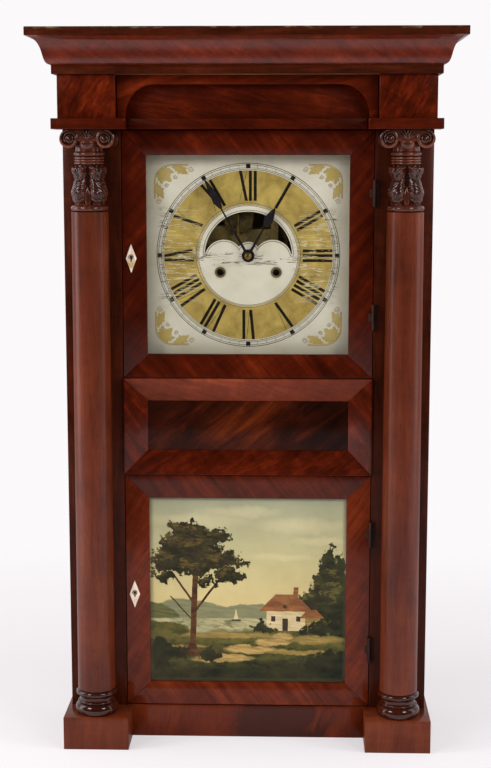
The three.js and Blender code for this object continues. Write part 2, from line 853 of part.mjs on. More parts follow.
// Case half of a butt hinge: leaf on the stile's face, two outer knuckles and the pin
function hingeCaseHalf(centreZ) {
  const third = hingeLength / 3;
  const z0 = centreZ - hingeLength / 2;
  const z1 = centreZ + hingeLength / 2;
  const leaf = block(
    hingeX, hingeX + hingeLeafDepth / 2, -hingeLeafThickness - glueLine, -glueLine, z0, z1,
  );
  const notch = block(
    hingeX - cutOverrun, hingeX + knuckleRadius + knuckleGap, -2 * knuckleRadius, 0,
    z0 + third - knuckleGap, z1 - third + knuckleGap,
  );
  const web = block(
    hingeX + glueLine, hingeX + knuckleRadius, hingeY, -glueLine, z0, z1,
  );
  const pin = turnedUpright(
    [[0, z0], [hingePinRadius, z0], [hingePinRadius, z1], [0, z1]], hingeX, hingeY, hingeFacets,
  );
  return joined(
    joined(leaf, web).subtract(notch), knuckle(z0, z0 + third), knuckle(z1 - third, z1), pin,
  );
}

// Door half of a butt hinge: the middle knuckle and a leaf let on to the door's face
function hingeDoorHalf(centreZ) {
  const third = hingeLength / 3;
  const z0 = centreZ - hingeLength / 2 + third + knuckleGap;
  const z1 = centreZ + hingeLength / 2 - third - knuckleGap;
  const bore = holeRadius(hingePinRadius, hingeFacets);
  const leaf = block(
    hingeX - hingeLeafDepth / 2, hingeX - bore, hingeY + bore / 2, glueLine, z0, z1,
  );
  return joined(leaf, knuckle(z0, z1, bore));
}

function doors() {
  const hingePlaces = (bottomZ, topZ) => {
    const inset = (topZ - bottomZ) * hingePlaceShare;
    return [topZ - inset, bottomZ + inset];
  };
  const upperHinges = hingePlaces(upperDoorBottom, upperDoorTop);
  const lowerHinges = hingePlaces(lowerDoorBottom, lowerDoorTop);
  const names = ['top', 'bottom'];
  const upper = joined(doorFrame(upperDoorBottom, upperDoorTop), ...upperHinges.map(hingeDoorHalf));
  const lower = joined(doorFrame(lowerDoorBottom, lowerDoorTop), ...lowerHinges.map(hingeDoorHalf));
  piece('upper_door_frame', figuredMahogany, upper);
  piece('upper_door_glass', clearGlass, doorPane(upperDoorBottom, upperDoorTop));
  piece('upper_escutcheon', bone, escutcheon(upperKeyZ));
  piece('lower_door_frame', figuredMahogany, lower);
  piece('lower_door_tablet', paintedGlass, doorPane(lowerDoorBottom, lowerDoorTop));
  piece('lower_escutcheon', bone, escutcheon(lowerKeyZ));
  names.forEach((name, index) => {
    piece('upper_door_hinge_' + name, darkBrass, hingeCaseHalf(upperHinges[index]));
    piece('lower_door_hinge_' + name, darkBrass, hingeCaseHalf(lowerHinges[index]));
  });
}

// Splayed frame between the doors, and the flame-figured panel sunk in it
function middlePanel() {
  const halfOut = stileInnerX - glueLine;
  const halfIn = halfOut - middleRailWidth;
  const midZ = (middleTop + middleBottom) / 2;
  const halfHigh = (middleTop - middleBottom) / 2;
  const panelFrontY = middleSplay - middleProud;
  const splayed = new THREE.BufferGeometry();
  const levels = [
    [halfOut - middleLip, -middleProud],
    [halfIn, panelFrontY],
  ];
  const [[outX, outY], [inX, inY]] = levels;
  const cone = [];
  for (const [halfX, y] of [
    [outX + (outX - inX), outY - (inY - outY)], [inX, inY],
  ]) {
    const halfZ = halfHigh - (halfOut - halfX);
    cone.push([-halfX, y, midZ - halfZ], [halfX, y, midZ - halfZ], [halfX, y, midZ + halfZ]);
    cone.push([-halfX, y, midZ + halfZ]);
  }
  splayed.setAttribute('position', new THREE.Float32BufferAttribute(cone.flat(), 3));
  splayed.setIndex([
    0, 1, 2, 0, 2, 3, 4, 6, 5, 4, 7, 6,
    0, 4, 5, 0, 5, 1, 1, 5, 6, 1, 6, 2, 2, 6, 7, 2, 7, 3, 3, 7, 4, 3, 4, 0,
  ]);
  const frame = block(
    -halfOut, halfOut, -middleProud, stileThickness, middleBottom, middleTop,
  );
  const inHalfHigh = halfHigh - middleRailWidth;
  const through = block(
    -halfIn, halfIn, 0, stileThickness + cutOverrun, midZ - inHalfHigh, midZ + inHalfHigh,
  );
  piece('middle_frame', figuredMahogany, frame.subtract(toSolid(splayed)).subtract(through));
  piece('middle_panel', figuredMahogany, block(
    -halfIn + glueLine, halfIn - glueLine, panelFrontY, panelFrontY + middlePanelThickness,
    midZ - inHalfHigh + glueLine, midZ + inHalfHigh - glueLine,
  ));
}

// Top board with the cheeks that carry the two weight pulleys
function topBoard() {
  const board = block(
    -halfWidth, halfWidth, stileThickness + 2 * glueLine, caseDepth, topBoardBottomZ, overallHeight,
  );
  const half = pulleyWidth / 2 + fitClearance;
  const bottomZ = pulleyZ - cheekMargin;
  const cheeks = [-1, 1].map((hand) => {
    const y0 = Math.min(hand * half, hand * (half + cheekThickness)) + cordY;
    return block(
      pulleyX - pulleyRadius, pulleyX + pulleyRadius, y0, y0 + cheekThickness,
      bottomZ, topBoardBottomZ + glueLine,
    );
  });
  const bore = rod(
    pulleyX, pulleyZ, holeRadius(pulleyAxleRadius), cordY - pulleyRadius, cordY + pulleyRadius,
  );
  const bracket = joined(...cheeks).subtract(bore);
  piece('top_board', pine, joined(board, bracket, mirrored(bracket)));
}

// Dial board with its bat-wing opening, winding holes and centre hole
function dial() {
  const board = block(
    -dialHalfWidth, dialHalfWidth, dialFrontY, dialBackY,
    dialCentreZ - dialHalfHeight, dialCentreZ + dialHalfHeight,
  );
  const disc = (x, z, radius, facets) => (
    rod(x, z, radius, dialFrontY - cutOverrun, dialBackY + cutOverrun, facets)
  );
  const lobeZ = dialCentreZ + batWingLobeRise - batWingLobeRadius;
  const centreLobeZ = dialCentreZ + batWingCentreRise - batWingCentreRadius;
  const below = block(
    -dialHalfWidth, dialHalfWidth, dialFrontY - 2 * cutOverrun, dialBackY + 2 * cutOverrun,
    dialCentreZ - dialHalfHeight, dialCentreZ + batWingHorn,
  );
  const cusps = block(
    -batWingLobeX, batWingLobeX, dialFrontY - 2 * cutOverrun, dialBackY + 2 * cutOverrun,
    dialCentreZ, dialCentreZ + batWingCuspRise,
  );
  const wing = disc(0, dialCentreZ, batWingRadius, 30)
    .subtract(below)
    .subtract(cusps)
    .subtract(disc(batWingLobeX, lobeZ, batWingLobeRadius, 24))
    .subtract(disc(-batWingLobeX, lobeZ, batWingLobeRadius, 24))
    .subtract(disc(0, centreLobeZ, batWingCentreRadius, 20));
  piece('dial', dialPaint, board
    .subtract(wing)
    .subtract(disc(0, dialCentreZ, dialCentreHoleRadius, 12))
    .subtract(disc(windingX, windingZ, windingHoleRadius, 12))
    .subtract(disc(-windingX, windingZ, windingHoleRadius, 12)));
}

// Outline of a toothed wheel or pinion with pointed teeth
function toothedShape(teeth, module, phase = 0) {
  const pitch = (teeth * module) / 2 - meshSlack / 2;
  const tip = pitch + addendumShare * module;
  const root = pitch - dedendumShare * module;
  const points = [];
  for (let step = 0; step < 2 * teeth; step += 1) {
    const angle = phase + (Math.PI * step) / teeth;
    const radius = step % 2 ? root : tip;
    points.push([radius * Math.cos(angle), radius * Math.sin(angle)]);
  }
  return polygon(points);
}

// Windows between a wheel's rim and hub that leave its arms
function withArms(shape, outer, hubRadius, arms, phase = 0) {
  const sweep = (2 * Math.PI) / arms;
  const outerPad = wheelRim / outer;
  const hubPad = Math.min(wheelRim / hubRadius, sweep * hubPadShare);
  for (let arm = 0; arm < arms; arm += 1) {
    const start = phase + sweep * arm;
    const rim = [0, 1, 2].map((k) => {
      const angle = start + outerPad + ((sweep - 2 * outerPad) * k) / 2;
      return [outer * Math.cos(angle), outer * Math.sin(angle)];
    });
    const hub = [1, 0].map((k) => {
      const angle = start + hubPad + (sweep - 2 * hubPad) * k;
      return [hubRadius * Math.cos(angle), hubRadius * Math.sin(angle)];
    });
    shape.holes.push(polygon([...rim, ...hub]));
  }
  return shape;
}

const rootRadius = (teeth, module) => (
  (teeth * module) / 2 - meshSlack / 2 - dedendumShare * module
);

function armedShape(teeth, module, phase, rimWidth = wheelRim, hubRadius = wheelHubRadius) {
  const outer = rootRadius(teeth, module) - rimWidth;
  return withArms(toothedShape(teeth, module, phase), outer, hubRadius, 4, phase);
}

// A wheel or pinion moved to its arbor's place
function wheelAt(shape, x, z, y0, y1) {
  return slab(shape, y0, y1).translate([x, 0, z]);
}

// The point at the given distances from two others, to the left of the line between them
function meshPoint([ax, az], reachA, [bx, bz], reachB) {
  const gap = Math.hypot(bx - ax, bz - az);
  const along = (reachA ** 2 - reachB ** 2 + gap ** 2) / (2 * gap);
  const off = Math.sqrt(reachA ** 2 - along ** 2);
  const ux = (bx - ax) / gap;
  const uz = (bz - az) / gap;
  return [ax + along * ux - off * uz, az + along * uz + off * ux];
}

const meshReach = (wheel, pinion, module) => ((wheel + pinion) * module) / 2;

// Arbor places: the great arbors stand at the winding holes, the centre arbor at the dial's centre
const centreAt = [0, dialCentreZ];
const greatAt = [windingX, windingZ];
const strikeGreatAt = [-windingX, windingZ];
const secondAt = meshPoint(
  centreAt, meshReach(secondTeeth, centrePinionLeaves, secondModule),
  greatAt, meshReach(greatTeeth, secondPinionLeaves, greatModule),
);
const thirdReach = meshReach(centreTeeth, thirdPinionLeaves, centreModule);
const thirdAngle = THREE.MathUtils.degToRad(thirdArborAngle);
const thirdAt = [
  thirdReach * Math.cos(thirdAngle), dialCentreZ + thirdReach * Math.sin(thirdAngle),
];
const escapeReach = meshReach(thirdTeeth, escapePinionLeaves, thirdModule);
const escapeRun = verticalOffsetX - thirdAt[0];
const escapeAt = [verticalOffsetX, thirdAt[1] + Math.sqrt(escapeReach ** 2 - escapeRun ** 2)];
const pivotAt = [verticalOffsetX, escapeAt[1] + escapeRadius * Math.SQRT2];
const minuteAt = [0, dialCentreZ - meshReach(minuteWheelTeeth, cannonLeaves, motionModule)];
const pinReach = meshReach(greatTeeth, pinWheelPinionLeaves, greatModule);
const pinAngle = THREE.MathUtils.degToRad(pinWheelAngle);
const pinWheelAt = [
  -windingX + pinReach * Math.cos(pinAngle), windingZ + pinReach * Math.sin(pinAngle),
];
const hammerAt = [hammerX, hammerZ];
const bellX = hammerX + hammerHeadRadius + hammerGap + bellRadius;

// Arbor with a shoulder inside each plate and a pivot through it
function arbor([x, z], radius, frontY = frontPlateY) {
  const shoulderFront = plateBackY + fitClearance;
  const shoulderBack = backPlateY - fitClearance;
  const backY = backPlateY + plateThickness;
  return turnedThrough([
    [0, frontY], [pivotRadius, frontY], [pivotRadius, shoulderFront], [radius, shoulderFront],
    [radius, shoulderBack], [pivotRadius, shoulderBack], [pivotRadius, backY], [0, backY],
  ], x, z, pivotFacets);
}

// Pinion angles that put a leaf gap on the wheel's tooth along the line of centres
function pinionPhase([wx, wz], [px, pz], teeth, leaves, wheelPhase) {
  const toward = Math.atan2(pz - wz, px - wx);
  const toothOffset = (((toward - wheelPhase) * teeth) / (2 * Math.PI)) % 1;
  const back = toward + Math.PI;
  return back + ((toothOffset + 0.5) * 2 * Math.PI) / leaves;
}

// A pinion that spans the wheel it meshes with, and a little more each way
function pinionAt([x, z], leaves, module, phase, wheelY, thickness = wheelThickness) {
  return wheelAt(
    toothedShape(leaves, module, phase), x, z, wheelY - pinionMargin,
    wheelY + thickness + pinionMargin,
  );
}

// Going train
const greatPhase = 0;
const secondPinionPhase = pinionPhase(greatAt, secondAt, greatTeeth, secondPinionLeaves, greatPhase);
const secondPhase = secondPinionPhase;
const centrePinionPhase = pinionPhase(
  secondAt, centreAt, secondTeeth, centrePinionLeaves, secondPhase,
);
const centrePhase = centrePinionPhase;
const thirdPinionPhase = pinionPhase(centreAt, thirdAt, centreTeeth, thirdPinionLeaves, centrePhase);
const thirdPhase = thirdPinionPhase;
const escapePinionPhase = pinionPhase(
  thirdAt, escapeAt, thirdTeeth, escapePinionLeaves, thirdPhase,
);

function greatWheel(at) {
  const shape = armedShape(greatTeeth, greatModule, greatPhase, greatRim, greatHubRadius);
  const bore = rod(at[0], at[1], holeRadius(drumArborRadius, 8), 0, caseDepth, 8);
  return wheelAt(shape, at[0], at[1], greatWheelY, greatWheelY + 2 * wheelThickness).subtract(bore);
}

function goingTrain() {
  piece('time_great_wheel', brass, greatWheel(greatAt));
  const [sx, sz] = secondAt;
  piece('second_wheel', brass, joined(
    wheelAt(armedShape(secondTeeth, secondModule, secondPhase), sx, sz,
      secondWheelY, secondWheelY + wheelThickness),
    pinionAt(secondAt, secondPinionLeaves, greatModule, secondPinionPhase, greatWheelY,
      2 * wheelThickness),
    arbor(secondAt, arborRadius),
  ));
  const [cx, cz] = centreAt;
  const nutY = minuteHandY - endNutThickness - fitClearance;
  const centreArbor = turnedThrough([
    [0, nutY - endNutThickness], [centreArborRadius, nutY - endNutThickness],
    [endNutRadius, nutY], [endNutRadius, nutY + endNutThickness],
    [centreArborRadius, nutY + endNutThickness],
    [centreArborRadius, backPlateY - fitClearance], [pivotRadius, backPlateY - fitClearance],
    [pivotRadius, backPlateY + plateThickness], [0, backPlateY + plateThickness],
  ], cx, cz, 8);
  piece('centre_wheel', brass, joined(
    wheelAt(armedShape(centreTeeth, centreModule, centrePhase), cx, cz,
      centreWheelY, centreWheelY + wheelThickness),
    pinionAt(centreAt, centrePinionLeaves, secondModule, centrePinionPhase, secondWheelY),
    centreArbor,
  ));
  const [tx, tz] = thirdAt;
  piece('third_wheel', brass, joined(
    wheelAt(armedShape(thirdTeeth, thirdModule, thirdPhase), tx, tz,
      thirdWheelY, thirdWheelY + wheelThickness),
    pinionAt(thirdAt, thirdPinionLeaves, centreModule, thirdPinionPhase, centreWheelY),
    arbor(thirdAt, arborRadius),
  ));
}

// Escape wheel with raked teeth, overhung in front of the plate
function escapeWheel() {
  const [x, z] = escapeAt;
  const points = [];
  const rake = Math.PI / escapeTeeth;
  const root = escapeRadius - escapeToothDepth;
  for (let tooth = 0; tooth < escapeTeeth; tooth += 1) {
    const angle = (2 * Math.PI * tooth) / escapeTeeth;
    points.push([escapeRadius * Math.cos(angle), escapeRadius * Math.sin(angle)]);
    points.push([root * Math.cos(angle + rake / 2), root * Math.sin(angle + rake / 2)]);
  }
  const shape = withArms(polygon(points), root - escapeRim, escapeHubRadius, 4);
  piece('escape_wheel', brass, joined(
    wheelAt(shape, x, z, escapeWheelY, escapeWheelY + wheelThickness),
    pinionAt(escapeAt, escapePinionLeaves, thirdModule, escapePinionPhase, thirdWheelY),
    arbor(escapeAt, escapeArborRadius, escapeWheelY),
  ));
}

// Verge: bent strip with two pallets, hung on the suspension stud, and the crutch that
// carries the pendulum rod along. At rest its pallets stand outside the teeth by their own travel
function verge() {
  const [x, z] = pivotAt;
  const [ex, ez] = escapeAt;
  const travel = escapeRadius * Math.sin(THREE.MathUtils.degToRad(swingLimit));
  const reach = escapeRadius + travel + fitClearance / 2;
  const bodies = [rod(x, z, vergeHubRadius, crutchY, vergeY + vergeDepth, 12)];
  for (const hand of [-1, 1]) {
    const angle = Math.PI / 2 + hand * THREE.MathUtils.degToRad(palletSpanAngle);
    const tipX = ex + reach * Math.cos(angle);
    const tipZ = ez + reach * Math.sin(angle);
    const backX = ex + (reach + palletLength) * Math.cos(angle);
    const backZ = ez + (reach + palletLength) * Math.sin(angle);
    const nx = -hand * Math.sin(angle) * palletThickness;
    const nz = hand * Math.cos(angle) * palletThickness;
    bodies.push(slab(polygon([
      [tipX, tipZ], [backX, backZ], [backX - nx, backZ - nz], [tipX - nx, tipZ - nz],
    ]), vergeY, vergeY + vergeDepth));
    const armX = backX - nx / 2;
    const armZ = backZ - nz / 2;
    const run = Math.hypot(armX - x, armZ - z);
    const ux = ((armX - x) / run) * vergeStripHalf;
    const uz = ((armZ - z) / run) * vergeStripHalf;
    bodies.push(slab(polygon([
      [x + uz, z - ux], [armX + uz, armZ - ux], [armX + ux, armZ + uz],
      [armX - uz, armZ + ux], [x - uz, z + ux],
    ]), vergeY, vergeY + vergeDepth));
  }
  const half = crutchWire / 2;
  const footZ = z - crutchDrop;
  const prongX = pendulumRodRadius + fitClearance;
  bodies.push(block(x - half, x + half, crutchY, crutchY + crutchWire, footZ, z));
  bodies.push(block(
    x - prongX - crutchWire, x + prongX + crutchWire,
    crutchY, crutchY + crutchWire, footZ, footZ + crutchWire,
  ));
  for (const hand of [-1, 1]) {
    const x0 = hand > 0 ? x + prongX : x - prongX - crutchWire;
    bodies.push(block(
      x0, x0 + crutchWire, pendulumY - pendulumRodRadius, crutchY + crutchWire,
      footZ, footZ + crutchWire,
    ));
  }
  const bore = rod(x, z, holeRadius(suspensionStudRadius), 0, frontPlateY);
  piece('verge', steel, joined(...bodies).subtract(bore));
}

// Pendulum: wire rod with an eye on the stud and a lens-shaped bob
function pendulum() {
  const [x, z] = pivotAt;
  const eye = rod(
    x, z, pendulumEyeRadius, pendulumY - pendulumEyeHalf, pendulumY + pendulumEyeHalf, 12,
  );
  const bore = rod(x, z, holeRadius(suspensionStudRadius), 0, frontPlateY);
  const bobZ = z - pendulumLength;
  const wire = turnedUpright([
    [0, bobZ], [pendulumRodRadius, bobZ], [pendulumRodRadius, z - suspensionStudRadius],
    [0, z - suspensionStudRadius],
  ], x, pendulumY, 8);
  const rim = bobThickness / 2;
  const swell = bobProfileShares.map(([across, deep]) => [bobRadius * across, rim * deep]);
  const bob = turnedThrough([
    [0, pendulumY - rim],
    ...swell.map(([radius, deep]) => [radius, pendulumY - deep]),
    [bobRadius, pendulumY],
    ...swell.map(([radius, deep]) => [radius, pendulumY + deep]).reverse(),
    [0, pendulumY + rim],
  ], x, bobZ, 20);
  piece('pendulum', brass, joined(wire, eye, bob).subtract(bore));
}

// Outline of a hand that points up from the arbor: boss, tapering stem and arrow head
function handShape(length, headLength, headWidth, bossRadius) {
  const shape = new THREE.Shape();
  const stem = handStemWidth / 2;
  const neck = handNeckWidth / 2;
  const head = headWidth / 2;
  const headStart = length - headLength;
  const [shoulder, barb, cheek] = headShares.map(([across, along]) => (
    [head * across, headStart + headLength * along]
  ));
  const point = neck * handPointShare;
  const bossAngle = Math.asin(stem / bossRadius);
  shape.moveTo(stem, bossRadius * Math.cos(bossAngle));
  shape.lineTo(neck, headStart);
  shape.quadraticCurveTo(shoulder[0], shoulder[1], barb[0], barb[1]);
  shape.quadraticCurveTo(cheek[0], cheek[1], point, length);
  shape.lineTo(-point, length);
  shape.quadraticCurveTo(-cheek[0], cheek[1], -barb[0], barb[1]);
  shape.quadraticCurveTo(-shoulder[0], shoulder[1], -neck, headStart);
  shape.lineTo(-stem, bossRadius * Math.cos(bossAngle));
  shape.absarc(0, 0, bossRadius, Math.PI / 2 + bossAngle, (5 * Math.PI) / 2 - bossAngle, false);
  return shape;
}

function pointedHand(shape, angle, y) {
  return slab(shape, y, y + handThickness, 5)
    .rotate([0, angle, 0])
    .translate([0, 0, dialCentreZ]);
}

// Hands with the pipes and wheels of the motion work
function motionWork() {
  const [cx, cz] = centreAt;
  const hourModule = (2 * meshReach(minuteWheelTeeth, cannonLeaves, motionModule))
    / (hourWheelTeeth + minutePinionLeaves);
  const minutePhase = pinionPhase(centreAt, minuteAt, cannonLeaves, minuteWheelTeeth, 0);
  const hourPhase = pinionPhase(minuteAt, centreAt, minutePinionLeaves, hourWheelTeeth, minutePhase);
  const cannonTop = frontPlateY - fitClearance;
  const cannon = rod(cx, cz, cannonPipeRadius, minuteHandY, cannonTop, pipeFacets);
  piece('minute_hand', bluedSteel, joined(
    pointedHand(
      handShape(minuteHandLength, minuteHeadLength, minuteHeadWidth, minuteBossRadius),
      minuteHandAngle, minuteHandY,
    ),
    cannon,
    pinionAt(centreAt, cannonLeaves, motionModule, 0, cannonWheelY),
  ).subtract(rod(cx, cz, holeRadius(centreArborRadius, 8), 0, frontPlateY, 8)));

  const hourBack = hourWheelY + wheelThickness;
  piece('hour_hand', bluedSteel, joined(
    pointedHand(
      handShape(hourHandLength, hourHeadLength, hourHeadWidth, hourBossRadius),
      hourHandAngle, hourHandY,
    ),
    rod(cx, cz, hourPipeRadius, hourHandY, hourBack, pipeFacets),
    wheelAt(toothedShape(hourWheelTeeth, hourModule, hourPhase), cx, cz, hourWheelY, hourBack),
  ).subtract(rod(cx, cz, holeRadius(cannonPipeRadius, pipeFacets), 0, frontPlateY, pipeFacets)));

  const [mx, mz] = minuteAt;
  piece('minute_wheel', brass, joined(
    wheelAt(toothedShape(minuteWheelTeeth, motionModule, minutePhase), mx, mz,
      cannonWheelY, cannonWheelY + wheelThickness),
    wheelAt(toothedShape(minutePinionLeaves, hourModule, minutePhase), mx, mz,
      hourWheelY - pinionMargin, cannonWheelY + glueLine),
  ).subtract(rod(mx, mz, holeRadius(suspensionStudRadius), 0, frontPlateY)));
}

// Movement plates: cut out so that straps of brass are left round the pivots
function plateBlank(y0, centreRadius) {
  const y1 = y0 + plateThickness;
  const cut = (tool) => {
    plate = plate.subtract(tool);
  };
  let plate = block(-plateHalfWidth, plateHalfWidth, y0, y1, plateBottom, plateTop);
  const plateHeight = plateTop - plateBottom;
  for (const [left, right, low, high] of plateWindowShares) {
    cut(block(
      plateHalfWidth * left, plateHalfWidth * right, y0 - cutOverrun, y1 + cutOverrun,
      plateBottom + plateHeight * low, plateBottom + plateHeight * high,
    ));
  }
  const holes = [
    ...[secondAt, thirdAt, escapeAt, pinWheelAt, hammerAt].map((at) => [at, pivotRadius]),
    ...[greatAt, strikeGreatAt].map((at) => [at, drumArborRadius]),
    [centreAt, centreRadius],
  ];
  for (const [[x, z], radius] of holes) {
    cut(rod(x, z, holeRadius(radius), y0 - cutOverrun, y1 + cutOverrun));
  }
  return plate;
}

function plates() {
  const studEndY = pendulumY - pendulumEyeHalf - studProud;
  const [vx, vz] = pivotAt;
  const [mx, mz] = minuteAt;
  piece('movement_front_plate', brass, joined(
    plateBlank(frontPlateY, centreArborRadius),
    rod(vx, vz, suspensionStudRadius, studEndY, frontPlateY + glueLine),
    rod(mx, mz, suspensionStudRadius, hourWheelY - pinionMargin - studProud, frontPlateY + glueLine),
  ));
  const pillars = [];
  for (const [inset, z] of [
    [lowerPillarInset, plateBottom + pillarInsetZ], [upperPillarInset, plateTop - pillarInsetZ],
  ]) {
    for (const x of [inset - plateHalfWidth, plateHalfWidth - inset]) {
      pillars.push(rod(x, z, pillarRadius, plateBackY + glueLine, backFrontY - glueLine));
    }
  }
  piece('movement_back_plate', brass, joined(plateBlank(backPlateY, pivotRadius), ...pillars));
}

// Cord drum on its arbor, ending in the square that the key turns
function drum(at) {
  const endY = dialBackY + squareSetback;
  const arborFront = frontPlateY - drumArborProud;
  const backEnd = backPlateY + plateThickness;
  const flangeBack = drumY + drumLength;
  const body = turnedThrough([
    [0, arborFront], [drumArborRadius, arborFront],
    [drumArborRadius, drumY - drumFlangeThickness],
    [drumFlangeRadius, drumY - drumFlangeThickness], [drumFlangeRadius, drumY],
    [drumRadius, drumY], [drumRadius, flangeBack - drumFlangeThickness],
    [drumFlangeRadius, flangeBack - drumFlangeThickness], [drumFlangeRadius, flangeBack],
    [drumArborRadius, flangeBack], [drumArborRadius, backEnd], [0, backEnd],
  ], at[0], at[1], 10);
  const square = turnedThrough([
    [0, endY], [windingSquareRadius, endY],
    [windingSquareRadius, arborFront + squareSeat], [0, arborFront + squareSeat],
  ], at[0], at[1], 4);
  return joined(body, square);
}

// Cast weight with an eye at the top for the cord's hook
function weight() {
  const x0 = -weightWidth / 2;
  const y0 = -weightDepth / 2;
  const shape = new THREE.Shape();
  shape.moveTo(x0 + weightCorner, y0);
  shape.absarc(-x0 - weightCorner, y0 + weightCorner, weightCorner, -Math.PI / 2, 0, false);
  shape.absarc(-x0 - weightCorner, -y0 - weightCorner, weightCorner, 0, Math.PI / 2, false);
  shape.absarc(x0 + weightCorner, -y0 - weightCorner, weightCorner, Math.PI / 2, Math.PI, false);
  shape.absarc(x0 + weightCorner, y0 + weightCorner, weightCorner, Math.PI, 1.5 * Math.PI, false);
  const body = prism(shape, weightRestZ, weightRestZ + weightHeight, 2)
    .translate([weightCentreX, cordY, 0]);
  const topZ = weightRestZ + weightHeight;
  const eyeZ = topZ + weightEyeHeight - weightEyeRadius;
  const eye = rod(
    weightCentreX, eyeZ, weightEyeRadius, cordY - weightEyeWire, cordY + weightEyeWire, 8,
  ).subtract(rod(
    weightCentreX, eyeZ, weightEyeRadius - 2 * weightEyeWire,
    cordY - 2 * weightEyeWire, cordY + 2 * weightEyeWire, 8,
  ));
  const shank = block(
    weightCentreX - weightEyeWire, weightCentreX + weightEyeWire,
    cordY - weightEyeWire, cordY + weightEyeWire,
    topZ - weightEyeWire, eyeZ - weightEyeRadius + weightEyeWire,
  );
  return joined(body, eye, shank);
}

function pulley() {
  const half = pulleyWidth / 2;
  const axleHalf = half + fitClearance + cheekThickness;
  return turnedThrough([
    [0, cordY - axleHalf], [pulleyAxleRadius, cordY - axleHalf],
    [pulleyAxleRadius, cordY - half], [pulleyRadius, cordY - half],
    [pulleyGrooveRadius, cordY - half / 3], [pulleyGrooveRadius, cordY + half / 3],
    [pulleyRadius, cordY + half], [pulleyAxleRadius, cordY + half],
    [pulleyAxleRadius, cordY + axleHalf], [0, cordY + axleHalf],
  ], pulleyX, pulleyZ, 10);
}

// Cord from the drum's top edge up to the pulley and over it
function cordRun() {
  const reach = cordReach;
  const drumReach = drumRadius + cordRadius + cordSeat;
  const dx = pulleyX - windingX;
  const dz = pulleyZ - windingZ;
  const span = Math.hypot(dx, dz);
  const tilt = Math.acos((drumReach - reach) / span);
  const base = Math.atan2(dz, dx);
  const leave = base + tilt;
  const points = [];
  points.push([windingX + drumReach * Math.cos(leave), windingZ + drumReach * Math.sin(leave)]);
  const steps = 7;
  for (let step = 0; step <= steps; step += 1) {
    const angle = leave + ((0 - leave) * step) / steps;
    points.push([pulleyX + reach * Math.cos(angle), pulleyZ + reach * Math.sin(angle)]);
  }
  return sweep(points, cordRadius, 8);
}

// Round tube through points of X and Z in the cords' plane, mitred at each of them
function sweep(points, radius, sides) {
  const vertices = [];
  const faces = [];
  points.forEach(([x, z], index) => {
    const [ax, az] = points[Math.max(index - 1, 0)];
    const [bx, bz] = points[Math.min(index + 1, points.length - 1)];
    const run = Math.hypot(bx - ax, bz - az);
    const nx = (bz - az) / run;
    const nz = -(bx - ax) / run;
    for (let side = 0; side < sides; side += 1) {
      const angle = (2 * Math.PI * side) / sides;
      const out = radius * Math.cos(angle);
      vertices.push(x + nx * out, cordY + radius * Math.sin(angle), z + nz * out);
    }
  });
  const lastRing = (points.length - 1) * sides;
  for (let side = 0; side < sides; side += 1) {
    const next = (side + 1) % sides;
    for (let ring = 0; ring < points.length - 1; ring += 1) {
      const a = ring * sides + side;
      const b = ring * sides + next;
      faces.push(a, b, a + sides, b, b + sides, a + sides);
    }
    if (side > 0 && side < sides - 1) {
      faces.push(0, next, side);
      faces.push(lastRing, lastRing + side, lastRing + next);
    }
  }
  const geometry = new THREE.BufferGeometry();
  geometry.setAttribute('position', new THREE.Float32BufferAttribute(vertices, 3));
  geometry.setIndex(faces);
  return toSolid(geometry);
}

function drives() {
  piece('time_drum', brass, drum(greatAt));
  piece('strike_drum', brass, drum(strikeGreatAt));
  const right = weight();
  piece('time_weight', castIron, right);
  piece('strike_weight', castIron, mirrored(right));
  piece('time_pulley', brass, pulley());
  piece('strike_pulley', brass, mirrored(pulley()));
  const run = cordRun();
  piece('time_cord_run', hemp, run);
  piece('strike_cord_run', hemp, mirrored(run));
  const topOfEye = weightRestZ + weightHeight + weightEyeHeight;
  const hang = turnedUpright([
    [0, topOfEye + fitClearance], [cordRadius, topOfEye + fitClearance],
    [cordRadius, pulleyZ - fitClearance], [0, pulleyZ - fitClearance],
  ], weightCentreX, cordY, 8);
  piece('time_weight_cord', hemp, hang);
  piece('strike_weight_cord', hemp, mirrored(hang));
}

